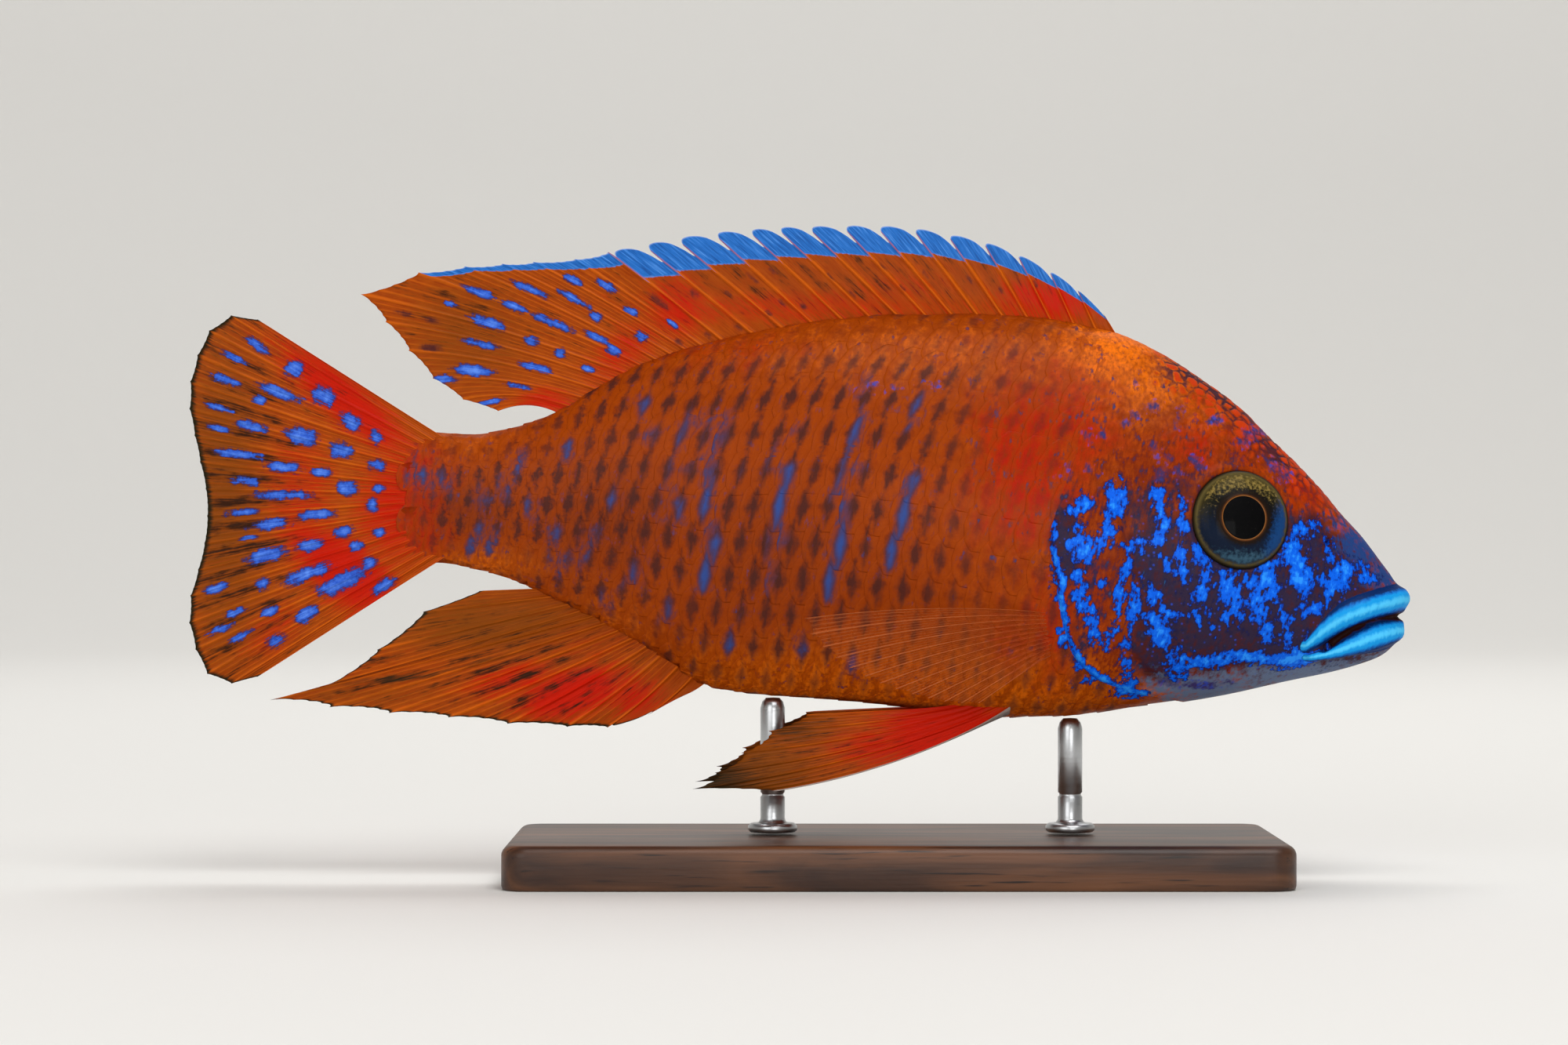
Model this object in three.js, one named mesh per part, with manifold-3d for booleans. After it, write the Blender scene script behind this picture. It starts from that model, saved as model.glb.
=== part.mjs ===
// A peacock cichlid, an adult male at life size, held by two short rods on a plain display stand.
// Millimetres. X runs forward from the tail to the lips, Y to the fish's left, Z up from the floor.
// The fish is drawn in its own frame, whose Z starts at the belly, and is then lifted onto the rods.
import * as THREE from "three";
import { mergeVertices, toCreasedNormals } from "three/addons/utils/BufferGeometryUtils.js";
import Module from "manifold-3d";

const wasm = await Module();
wasm.setup();

// Driving dimensions
const GAP = 0.3; // kept between pieces that touch
const BELLY_HEIGHT = 18.2; // belly above the floor, which lifts the hanging fins clear of the base
const TAIL_END = -45; // where the flesh of the tail stalk stops
const SNOUT_END = 68.6; // where the flesh of the snout stops, inside the lips
const AROUND = 36; // corners of a body section
const HALF_SPACE = 40; // reach of the shapes that cut the body

// The body seen from the side and from above, as [x, value]
const BACK_LINE = [
  [-45, 32.9], [-41, 32.8], [-37, 32.6], [-33, 33.4], [-29, 34.6], [-24, 37.5], [-17.8, 40.8],
  [-10.7, 43.1], [-1.7, 45], [7.3, 46.2], [16.2, 46.5], [25.2, 46.2], [35.5, 44.4], [41.3, 41.9],
  [45.8, 39], [50.3, 35.7], [54, 32], [56.6, 29.5], [59.7, 26.2], [61.9, 23.5], [64.2, 21],
  [66.4, 18.1], [68, 15.9], [68.6, 14.6],
];
const BELLY_LINE = [
  [-45, 17.6], [-41, 17.8], [-38, 17.3], [-34, 16.2], [-30.4, 14.8], [-27.2, 13.1], [-20.8, 9.9],
  [-15.9, 7], [-11.3, 4], [-8, 3], [-2.9, 2.5], [5.5, 2], [14.4, 1], [23.4, 0.1], [28.8, 0.2],
  [36.8, 1], [43.1, 1.8], [48.5, 2.7], [55.7, 4.3], [61, 5.4], [64.5, 6.4], [66.5, 7.2], [68, 8.5], [68.6, 9.6],
];
const HALF_WIDTH = [
  [-45, 0.9], [-41, 1.9], [-34, 3.1], [-28, 4.2], [-18, 6.3], [-6, 8.3], [8, 9.6], [20, 10],
  [32, 10.1], [42, 9.9], [50, 9], [56, 7.7], [61, 6], [65, 4.5], [67.4, 3], [68.6, 1.6],
];
// Height of the widest level, as a share of the section
const WIDEST_LEVEL = [[-45, 0.5], [-10, 0.52], [20, 0.47], [40, 0.42], [56, 0.4], [68.6, 0.42]];
// Fullness of a section above and below that level: 2 is an ellipse, less is keeled, more is boxy
const FULLNESS_ABOVE = [[-45, 2], [-20, 1.8], [25, 1.72], [42, 1.85], [55, 2.1], [68.6, 2.2]];
const FULLNESS_BELOW = [[-45, 2], [-10, 1.75], [15, 1.95], [40, 2.1], [60, 2.1], [68.6, 2.2]];

// Lines that part the body, seen from the side as [x, z]
const HEAD_EDGE = [ // from above the nape, down behind the gill cover and forward along the throat
  [38.5, 60], [36.2, 42], [32.6, 32], [29.8, 25], [28.6, 20.8], [29.2, 16.5], [29.9, 12],
  [31.2, 7.5], [33.6, 4.6], [38, 2.9], [44, 1.9], [47, -20],
];
const GILL_COVER = [ // its front edge is the crease behind the cheek
  [29.9, 25], [28.65, 20.8], [29.25, 16.5], [29.95, 12], [31.25, 7.5], [33.7, 4.7], [38.1, 3.1],
  [43.8, 2.2], [41.6, 4.3], [39, 7], [38, 11], [38.1, 16], [37.4, 21], [35.2, 25.2], [32.4, 26.6],
];
const JAW_CUT = [ // the mouth's slit, its corner and the hinge line down to the chin
  [75, 14.1], [69, 12.1], [65.8, 11.15], [62.8, 9.85], [60, 8.2], [57.6, 6.4], [54.6, 0], [75, 0],
];
const TAIL_CUT_X = -31; // where the trunk gives way to the tail stalk
const COVER_CORNERS = 36; // of its outline
const COVER_THICKNESS = 1;
const COVER_RISE = 0.45; // the gill cover stands this far out of the skin
const THROAT_HALF_WIDTH = 2.2; // the strip between the two gill covers

// Head
const EYE = { x: 50.4, z: 22.9, radius: 5.8, dome: 2.2, depth: 4.4, rise: 1.5 };
const NOSTRIL = { x: 60.2, z: 20.2, radius: 0.45, depth: 0.9 };
const UPPER_LIP = { front: 70, corner: 57.6, halfWidth: 5.7, z: 13.9, fall: 0.47, height: 1.5, depth: 1.4 };
const LOWER_LIP = { front: 69.2, corner: 58.8, halfWidth: 5.3, z: 10.1, fall: 0.3, height: 1, depth: 1.25 };

// Fins: thickness of the sheet and of the rays that stand proud of it
const WEB = 0.52;
const RAY_RIDGE = 0.36;
const ROOT_THICKNESS = 1.3;
const ROOT_DEPTH = 1.6; // how far a ray starts inside the body before it is trimmed
// The web behind each ray, as [share of the way to the next ray, share of the ray's length it reaches]
const SPINE_WEB = [[0.1, 0.78], [0.52, 0.96]];
const SOFT_WEB = [[0.5, 0.965]];

// Stand
const BASE = { x: 11, length: 88, width: 38, height: 5, chamfer: 0.8 };
const ROD = { radius: 1.4, sides: 24, collar: 2.8, collarHeight: 1, frontX: 31, rearX: -3 };

const MATERIALS = {
  flesh: new THREE.MeshStandardMaterial({ color: 0xc2450f, roughness: 0.38, metalness: 0 }),
  face: new THREE.MeshStandardMaterial({ color: 0x2c5fb4, roughness: 0.35, metalness: 0 }),
  jaw: new THREE.MeshStandardMaterial({ color: 0x3f8fe0, roughness: 0.3, metalness: 0 }),
  fin: new THREE.MeshStandardMaterial({ color: 0xc4511a, roughness: 0.45, metalness: 0 }),
  eye: new THREE.MeshStandardMaterial({ color: 0x2b241c, roughness: 0.08, metalness: 0 }),
  wood: new THREE.MeshStandardMaterial({ color: 0x4b2e1d, roughness: 0.42, metalness: 0 }),
  steel: new THREE.MeshStandardMaterial({ color: 0xb8bcc2, roughness: 0.32, metalness: 1 }),
};

/** A smooth function through [x, value] knots that never overshoots them. */
function through(knots) {
  const slopes = knots.slice(1).map((b, i) => (b[1] - knots[i][1]) / (b[0] - knots[i][0]));
  const tangents = knots.map((_, i) => {
    if (i === 0) return slopes[0];
    if (i === knots.length - 1) return slopes[i - 1];
    const [before, after] = [slopes[i - 1], slopes[i]];
    return before * after <= 0 ? 0 : (2 * before * after) / (before + after);
  });
  return (x) => {
    const last = knots.length - 2;
    let i = 0;
    while (i < last && x > knots[i + 1][0]) i++;
    const span = knots[i + 1][0] - knots[i][0];
    const t = THREE.MathUtils.clamp((x - knots[i][0]) / span, 0, 1);
    const [t2, t3] = [t * t, t * t * t];
    return (
      (2 * t3 - 3 * t2 + 1) * knots[i][1] +
      (t3 - 2 * t2 + t) * span * tangents[i] +
      (3 * t2 - 2 * t3) * knots[i + 1][1] +
      (t3 - t2) * span * tangents[i + 1]
    );
  };
}

/** Evenly spaced numbers from a to b, both included. */
function range(a, b, count) {
  return Array.from({ length: count }, (_, i) => a + ((b - a) * i) / (count - 1));
}

const backZ = through(BACK_LINE);
const bellyZ = through(BELLY_LINE);
const halfWidth = through(HALF_WIDTH);
const widestLevel = through(WIDEST_LEVEL);
const fullnessAbove = through(FULLNESS_ABOVE);
const fullnessBelow = through(FULLNESS_BELOW);

/** A point of the skin: angle 0 is the left side, a quarter turn the back. */
function skinPoint(x, angle) {
  const [top, bottom] = [backZ(x), bellyZ(x)];
  const level = bottom + widestLevel(x) * (top - bottom);
  const [c, s] = [Math.cos(angle), Math.sin(angle)];
  const power = 2 / (s > 0 ? fullnessAbove(x) : fullnessBelow(x));
  const reach = s > 0 ? top - level : level - bottom;
  const y = halfWidth(x) * Math.sign(c) * Math.abs(c) ** power;
  return new THREE.Vector3(x, y, level + reach * Math.sign(s) * Math.abs(s) ** power);
}

/** How far out the left skin lies at a place seen from the side. */
function skinY(x, z) {
  const [top, bottom] = [backZ(x), bellyZ(x)];
  const level = bottom + widestLevel(x) * (top - bottom);
  const fullness = z > level ? fullnessAbove(x) : fullnessBelow(x);
  const share = Math.abs(z - level) / (z > level ? top - level : level - bottom);
  return share >= 1 ? 0 : halfWidth(x) * (1 - share ** fullness) ** (1 / fullness);
}

/** The skin's outward normal at a station and angle. */
function skinNormal(x, angle) {
  const step = 0.02;
  const x1 = Math.min(x + step, SNOUT_END);
  const x0 = Math.max(x - step, TAIL_END);
  const along = skinPoint(x1, angle).sub(skinPoint(x0, angle));
  const round = skinPoint(x, angle + step).sub(skinPoint(x, angle - step));
  return round.cross(along).normalize();
}

/** A closed mesh through rings of points, each ring counterclockwise seen from its front end. */
function ringMesh(rings, rearPole, frontPole) {
  const count = rings[0].length;
  const points = [...rings.flat(), rearPole, frontPole];
  const faces = [];
  for (let j = 0; j < count; j++) {
    const k = (j + 1) % count;
    for (let i = 0; i + 1 < rings.length; i++) {
      const [a, b, c, d] = [i * count + j, i * count + k, (i + 1) * count + k, (i + 1) * count + j];
      faces.push(a, c, b, a, d, c);
    }
    faces.push(points.length - 2, j, k);
    const front = (rings.length - 1) * count;
    faces.push(points.length - 1, front + k, front + j);
  }
  return indexed(points, faces);
}

/** A geometry from points and triangle corners. */
function indexed(points, faces) {
  return new THREE.BufferGeometry()
    .setAttribute("position", new THREE.Float32BufferAttribute(points.flatMap((p) => p.toArray()), 3))
    .setIndex(faces);
}

/** A solid to join and cut, turned the right way out. */
function solid(geometry) {
  const bare = geometry.clone();
  bare.deleteAttribute("normal");
  bare.deleteAttribute("uv");
  const merged = mergeVertices(bare, 1e-4);
  const triVerts = new Uint32Array(merged.index.array);
  const vertProperties = merged.attributes.position.array;
  const made = new wasm.Manifold(new wasm.Mesh({ numProp: 3, vertProperties, triVerts }));
  if (made.volume() > 0) return made;
  for (let i = 0; i < triVerts.length; i += 3) {
    [triVerts[i + 1], triVerts[i + 2]] = [triVerts[i + 2], triVerts[i + 1]];
  }
  return new wasm.Manifold(new wasm.Mesh({ numProp: 3, vertProperties, triVerts }));
}

/** The largest piece of a solid, so that no loose scrap is kept. */
function largest(made) {
  return made.decompose().sort((a, b) => b.volume() - a.volume())[0];
}

/** A named mesh of a solid. */
function piece(name, made, material) {
  const { vertProperties, triVerts } = largest(made).getMesh();
  const geometry = new THREE.BufferGeometry()
    .setAttribute("position", new THREE.BufferAttribute(new Float32Array(vertProperties), 3))
    .setIndex(new THREE.BufferAttribute(triVerts, 1));
  const mesh = new THREE.Mesh(toCreasedNormals(geometry, Math.PI / 5), material);
  mesh.name = name;
  return mesh;
}

/** The body with its skin moved outwards by an offset. */
function bodySolid(offset = 0) {
  const stations = [
    ...range(TAIL_END, 48, 25),
    ...range(50.5, 66, 9),
    67.2, 68, SNOUT_END,
  ];
  const angles = range(0, 2 * Math.PI, AROUND + 1).slice(0, AROUND);
  const rings = stations.map((x) =>
    angles.map((a) => skinPoint(x, a).addScaledVector(skinNormal(x, a), offset)),
  );
  const pole = (x, out) => new THREE.Vector3(x + out, 0, (backZ(x) + bellyZ(x)) / 2);
  return solid(ringMesh(rings, pole(TAIL_END, -0.4 - offset), pole(SNOUT_END, 0.4 + offset)));
}

/** A side outline carried straight across the body, from y0 to y1. */
function sidePrism(outline, y0 = -HALF_SPACE, y1 = HALF_SPACE) {
  const shape = new THREE.Shape(outline.map(([x, z]) => new THREE.Vector2(x, z)));
  const geometry = new THREE.ExtrudeGeometry(shape, { depth: y1 - y0, bevelEnabled: false });
  return solid(geometry.rotateX(Math.PI / 2).translate(0, y1, 0));
}

/** A side outline moved to the left of its direction by a distance; closed outlines wrap round. */
function shifted(outline, distance, closed = false) {
  const count = outline.length;
  return outline.map((p, i) => {
    const before = outline[closed ? (i + count - 1) % count : Math.max(i - 1, 0)];
    const after = outline[closed ? (i + 1) % count : Math.min(i + 1, count - 1)];
    const along = new THREE.Vector2(after[0] - before[0], after[1] - before[1]).normalize();
    return [p[0] - along.y * distance, p[1] + along.x * distance];
  });
}

/** A side outline drawn again as a smooth closed curve. */
function smoothed(outline, count) {
  const curve = new THREE.CatmullRomCurve3(outline.map(([x, z]) => new THREE.Vector3(x, z, 0)), true);
  return curve.getPoints(count).slice(0, -1).map((p) => [p.x, p.y]);
}

/** A lip as a tapered roll from one corner of the mouth round the snout to the other; extra thickens it. */
function lip({ front, corner, halfWidth: out, z, fall, height, depth }, extra = 0) {
  const sides = 10;
  const length = front - depth - corner;
  const turns = range(-Math.PI / 2, Math.PI / 2, 19);
  const centre = (t) =>
    new THREE.Vector3(corner + length * Math.cos(t), out * Math.sin(t), z - fall * length * (1 - Math.cos(t)));
  const rings = turns.map((t) => {
    const swell = 0.42 + 0.58 * Math.cos(t) ** 0.5;
    const outward = new THREE.Vector3(out * Math.cos(t), length * Math.sin(t), 0).normalize();
    return range(0, 2 * Math.PI, sides + 1).slice(0, sides).map((a) =>
      centre(t)
        .addScaledVector(outward, (depth * swell + extra) * Math.cos(a))
        .add(new THREE.Vector3(0, 0, (height * swell + extra) * Math.sin(a))),
    );
  });
  return solid(ringMesh(rings, centre(turns[0]), centre(turns[turns.length - 1])));
}

/** A direction square to the skin at the eye, on the left side. */
function eyeAxis() {
  const slope = 0.5;
  const across = skinY(EYE.x + slope, EYE.z) - skinY(EYE.x - slope, EYE.z);
  const up = skinY(EYE.x, EYE.z + slope) - skinY(EYE.x, EYE.z - slope);
  return new THREE.Vector3(-across, 2 * slope, -up).normalize();
}

/** An eyeball, shallower in front than behind its rim; grown makes its socket. */
function eyeball(side, grown = 0) {
  const geometry = new THREE.SphereGeometry(1, 24, 14);
  const corners = geometry.attributes.position;
  for (let i = 0; i < corners.count; i++) {
    const reach = (corners.getY(i) > 0 ? EYE.dome : EYE.depth) + grown;
    const wide = EYE.radius + grown;
    corners.setXYZ(i, corners.getX(i) * wide, corners.getY(i) * reach, corners.getZ(i) * wide);
  }
  geometry.applyQuaternion(new THREE.Quaternion().setFromUnitVectors(new THREE.Vector3(0, 1, 0), eyeAxis()));
  geometry.translate(EYE.x, skinY(EYE.x, EYE.z) + EYE.rise - EYE.dome, EYE.z);
  return solid(side > 0 ? geometry : geometry.scale(1, -1, 1));
}

/** A nostril's pit, a short cone that opens outwards. */
function nostrilPit(side) {
  const y = skinY(NOSTRIL.x, NOSTRIL.z);
  const pit = new THREE.CylinderGeometry(NOSTRIL.radius, NOSTRIL.radius * 0.6, 2 * NOSTRIL.depth, 10);
  pit.translate(NOSTRIL.x, y, NOSTRIL.z);
  return solid(side > 0 ? pit : pit.scale(1, -1, 1));
}

/** A ray's middle line, bowed by a vector at its middle. */
function rayPath(root, tip, bow = new THREE.Vector3()) {
  const middle = root.clone().lerp(tip, 0.5).addScaledVector(bow, 2);
  return new THREE.QuadraticBezierCurve3(root, middle, tip);
}

/**
 * A fin as one closed sheet. Its rays stand proud as ridges on both faces of a thin web, and
 * webs(j) lists the web's lines between ray j and the next.
 */
function finSheet(rays, webs, { steps = 5, root = ROOT_THICKNESS, ridge = RAY_RIDGE } = {}) {
  const lines = rays.flatMap((_, j) => [
    { j, across: 0, reach: 1 },
    ...(j + 1 < rays.length ? webs(j).map(([across, reach]) => ({ j, across, reach })) : []),
  ]);
  const grid = lines.map(({ j, across, reach }) =>
    range(0, reach, steps + 1).map((v) => {
      const point = rays[j].getPoint(v);
      return across ? point.lerp(rays[j + 1].getPoint(v), across) : point;
    }),
  );
  const last = grid.length - 1;
  const at = (c, i) => grid[Math.min(Math.max(c, 0), last)][Math.min(Math.max(i, 0), steps)];
  const normal = (c, i) => {
    const across = at(c + 1, i).clone().sub(at(c - 1, i));
    const along = at(c, i + 1).clone().sub(at(c, i - 1));
    return across.cross(along).normalize();
  };
  const thickness = (c, i) => {
    const v = i / steps;
    const fillet = (root - WEB) * Math.max(0, 1 - 2.6 * v) ** 2;
    return WEB + fillet + (lines[c].across === 0 ? ridge * (1 - 0.75 * v) : 0);
  };
  const points = [1, -1].flatMap((face) =>
    grid.flatMap((line, c) =>
      line.map((p, i) => p.clone().addScaledVector(normal(c, i), (face * thickness(c, i)) / 2)),
    ),
  );
  const rows = steps + 1;
  const id = (face, c, i) => face * grid.length * rows + c * rows + i;
  const faces = [];
  const quad = (a, b, c, d) => faces.push(a, b, c, a, c, d);
  for (let c = 0; c < last; c++) {
    for (let i = 0; i < steps; i++) {
      quad(id(0, c, i), id(0, c + 1, i), id(0, c + 1, i + 1), id(0, c, i + 1));
      quad(id(1, c, i), id(1, c, i + 1), id(1, c + 1, i + 1), id(1, c + 1, i));
    }
    quad(id(0, c, 0), id(1, c, 0), id(1, c + 1, 0), id(0, c + 1, 0));
    quad(id(0, c, steps), id(0, c + 1, steps), id(1, c + 1, steps), id(1, c, steps));
  }
  for (let i = 0; i < steps; i++) {
    quad(id(0, 0, i), id(0, 0, i + 1), id(1, 0, i + 1), id(1, 0, i));
    quad(id(0, last, i), id(1, last, i), id(1, last, i + 1), id(0, last, i + 1));
  }
  return solid(indexed(points, faces));
}

/** Evenly spaced places along a side curve through a few points. */
function spaced(points, count) {
  const curve = new THREE.CatmullRomCurve3(points.map(([x, z]) => new THREE.Vector3(x, 0, z)));
  curve.arcLengthDivisions = 400;
  return curve.getSpacedPoints(count - 1);
}

/** The dorsal fin: stiff spines with flag-like webs, then soft rays drawn out to a point. */
function dorsalFin() {
  const spines = 16;
  const soft = 11;
  const spineLine = [
    [35, 46.4], [31.9, 49.7], [28.5, 51.7], [20.9, 55], [8.7, 56.6], [-6.1, 55.9], [-14.2, 55.5], [-21.8, 53.7],
  ];
  const softTop = [[-26.2, 52.6], [-34.1, 52.2], [-43.6, 51], [-50.2, 48.6]];
  const softRear = [[-50.2, 48.6], [-46.3, 44.2], [-42.4, 39.4], [-38.6, 36.6], [-34.4, 35.2]];
  const tips = [...spaced(spineLine, spines), ...spaced(softTop, 6), ...spaced(softRear, 6).slice(1)];
  const spineRoot = (u) => 35.6 - 44.1 * u + 2.2 * Math.sin(Math.PI * u);
  const rays = tips.map((tip, j) => {
    const far = Math.max(0, (j - spines + 1) / soft);
    const x = j < spines ? spineRoot(j / (spines - 1)) : -10.8 - 18 * (far - 1 / soft);
    const root = new THREE.Vector3(x + 0.8 * ROOT_DEPTH, 0, backZ(x) - ROOT_DEPTH);
    tip.y = 1.2 * Math.sin(Math.PI * far);
    return rayPath(root, tip, new THREE.Vector3(0, 0.15 * far, 0.15 + 1.1 * far));
  });
  return finSheet(rays, (j) => (j + 1 < spines ? SPINE_WEB : SOFT_WEB));
}

/** The anal fin: three stiff spines, then soft rays drawn out to a long point. */
function analFin() {
  const spines = 3;
  const soft = 10;
  const spineLine = [[-14.2, 2.4], [-17.8, 0.1], [-21.9, -1]];
  const softLow = [[-26.5, -0.9], [-32.5, -0.6], [-41, 0.3], [-49.2, 0.9], [-60.3, 2.2]];
  const softRear = [[-60.3, 2.2], [-53.4, 4.1], [-47.8, 8.2], [-43, 12.2], [-36.5, 14.6]];
  const tips = [...spaced(spineLine, spines), ...spaced(softLow, 6), ...spaced(softRear, 5).slice(1)];
  const rays = tips.map((tip, j) => {
    const far = Math.max(0, (j - spines + 1) / soft);
    const x = j < spines ? -10.4 - 1.7 * j : -15.6 - 13.6 * (far - 1 / soft);
    const root = new THREE.Vector3(x + 0.6 * ROOT_DEPTH, 0, bellyZ(x) + ROOT_DEPTH);
    tip.y = -1.1 * Math.sin(Math.PI * far);
    return rayPath(root, tip, new THREE.Vector3(0, -0.15 * far, -0.5 * (1 - far)));
  });
  return finSheet(rays, () => SOFT_WEB, { steps: 6 });
}

/** The caudal fin: a fan with rounded lobes and a shallow hollow between them. */
function caudalFin() {
  const tips = spaced(
    [
      [-62, 45.7], [-65, 46.2], [-67.2, 44.9], [-69, 41.4], [-69.9, 36.8], [-69, 31.2], [-67.8, 25],
      [-68.2, 19.5], [-69.9, 12.8], [-69.3, 8.4], [-67.4, 4.7], [-64.6, 4], [-62, 4.8],
    ],
    18,
  );
  const roots = spaced([[-40, 31.8], [-43.4, 30], [-44.4, 25.3], [-43.4, 20.6], [-40, 18.8]], 18);
  const rays = tips.map((tip, j) => {
    tip.y = 1.1;
    return rayPath(roots[j], tip, new THREE.Vector3(0, -0.25, 0));
  });
  return finSheet(rays, () => SOFT_WEB, { steps: 7, root: 1.7 });
}

/** A pelvic fin, folded back under the belly, its leading edge bowed downwards. */
function pelvicFin(side) {
  const tips = [
    [-2.9, 6.1, -7.9], [-12, 6.9, -7.6], [-9.5, 6.4, -5.8], [-6.5, 5.6, -3.6], [-3.4, 4.6, -1.2], [0.8, 3.2, 0.6],
  ].map((p) => new THREE.Vector3(...p));
  const rays = tips.map((tip, j) => {
    const back = j / (tips.length - 1);
    const x = 24.4 - 4.6 * back;
    const root = new THREE.Vector3(x, 2.8 - 0.7 * back, bellyZ(x) + 1.2);
    return rayPath(root, tip, new THREE.Vector3(0, 0.6, -1.4 * (1 - back)));
  });
  const sheet = finSheet(rays, () => SOFT_WEB, { steps: 8, root: 1.5 });
  return side > 0 ? sheet : sheet.mirror([0, 1, 0]);
}

/** A pectoral fin, a thin fan that leans out from the flank. */
function pectoralFin(side) {
  const lean = 0.34; // outward share of its length
  const line = [
    [0.5, 11.9], [1.4, 9.9], [3.6, 7.8], [6.2, 5.9], [9.4, 4.4], [13, 3.2], [16.6, 2.4], [20, 2.2],
  ];
  const tips = spaced(line, 13);
  const rays = tips.map((tip, j) => {
    const down = j / (tips.length - 1);
    const [x, z] = [25.9 + 0.7 * down, 12.3 - 4.6 * down];
    const y = skinY(x, z);
    tip.y = y + lean * (x - tip.x) + 0.6;
    const root = new THREE.Vector3(x + ROOT_DEPTH, y - 0.7, z + 0.1 * (1 - down));
    return rayPath(root, tip, new THREE.Vector3(0, 0.5, 0.75 * (1 - down)));
  });
  const sheet = finSheet(rays, () => SOFT_WEB, { root: 1.1, ridge: 0.26 });
  return side > 0 ? sheet : sheet.mirror([0, 1, 0]);
}

/** The flesh, parted into head, jaw, gill covers, trunk and tail stalk. */
function flesh() {
  const body = bodySolid();
  const headRegion = sidePrism([...HEAD_EDGE, [90, -20], [90, 60]]);
  const headAndGap = sidePrism([...shifted(HEAD_EDGE, -GAP), [90, -20], [90, 60]]);
  const jawRegion = sidePrism(JAW_CUT);
  const jawAndGap = sidePrism(shifted(JAW_CUT, -GAP, true));
  const cover = smoothed(GILL_COVER, COVER_CORNERS);
  const coverShell = bodySolid(COVER_RISE).subtract(bodySolid(-COVER_THICKNESS));
  const pocketShell = bodySolid(2).subtract(bodySolid(-COVER_THICKNESS - GAP));
  const eyes = [1, -1].map((side) => eyeball(side));
  const parts = { eyes };

  parts.covers = [1, -1].map((side) => {
    const [near, far] = [THROAT_HALF_WIDTH, HALF_SPACE].map((y) => side * y);
    return coverShell.intersect(sidePrism(cover, Math.min(near, far), Math.max(near, far)));
  });
  parts.head = body.intersect(headRegion).subtract(jawAndGap).add(lip(UPPER_LIP));
  for (const side of [1, -1]) {
    const [near, far] = [THROAT_HALF_WIDTH - GAP, HALF_SPACE].map((y) => side * y);
    const slot = sidePrism(shifted(cover, -GAP, true), Math.min(near, far), Math.max(near, far));
    parts.head = parts.head.subtract(pocketShell.intersect(slot));
    parts.head = parts.head.subtract(eyeball(side, GAP)).subtract(nostrilPit(side));
  }
  const lowerLip = lip(LOWER_LIP);
  parts.jaw = largest(body.intersect(jawRegion)).add(lowerLip).subtract(lip(UPPER_LIP, GAP));
  parts.head = parts.head.subtract(lip(LOWER_LIP, GAP));

  const behindHead = body.subtract(headAndGap);
  const tailBox = sidePrism([[-80, -20], [TAIL_CUT_X, -20], [TAIL_CUT_X, 60], [-80, 60]]);
  const tailBoxAndGap = sidePrism([[-80, -20], [TAIL_CUT_X + GAP, -20], [TAIL_CUT_X + GAP, 60], [-80, 60]]);
  parts.trunk = behindHead.subtract(tailBoxAndGap);
  parts.stalk = behindHead.intersect(tailBox);
  return parts;
}

/** A rod with its collar, from the base up to the belly. */
function rod(x, bodyAndGap) {
  const foot = BASE.height + GAP - BELLY_HEIGHT;
  const top = bellyZ(x) + 3;
  const profile = [
    [0, foot], [ROD.collar, foot], [ROD.collar, foot + ROD.collarHeight * 0.6],
    [ROD.radius + 0.3, foot + ROD.collarHeight], [ROD.radius, foot + ROD.collarHeight + 0.3], [ROD.radius, top], [0, top],
  ];
  const turned = new THREE.LatheGeometry(profile.map(([r, z]) => new THREE.Vector2(r, z)), ROD.sides);
  return solid(turned.rotateX(Math.PI / 2).translate(x, 0, 0)).subtract(bodyAndGap);
}

/** The flat base, with round ends and a chamfered rim. */
function standBase() {
  const end = BASE.width / 2 - BASE.chamfer;
  const straight = (BASE.length - BASE.width) / 2;
  const outline = new THREE.Shape();
  outline.absarc(straight, 0, end, -Math.PI / 2, Math.PI / 2, false);
  outline.absarc(-straight, 0, end, Math.PI / 2, (3 * Math.PI) / 2, false);
  const geometry = new THREE.ExtrudeGeometry(outline, {
    depth: BASE.height - 2 * BASE.chamfer,
    bevelThickness: BASE.chamfer,
    bevelSize: BASE.chamfer,
    bevelSegments: 1,
    curveSegments: 16,
  });
  return solid(geometry.translate(BASE.x, 0, BASE.chamfer));
}

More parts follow.
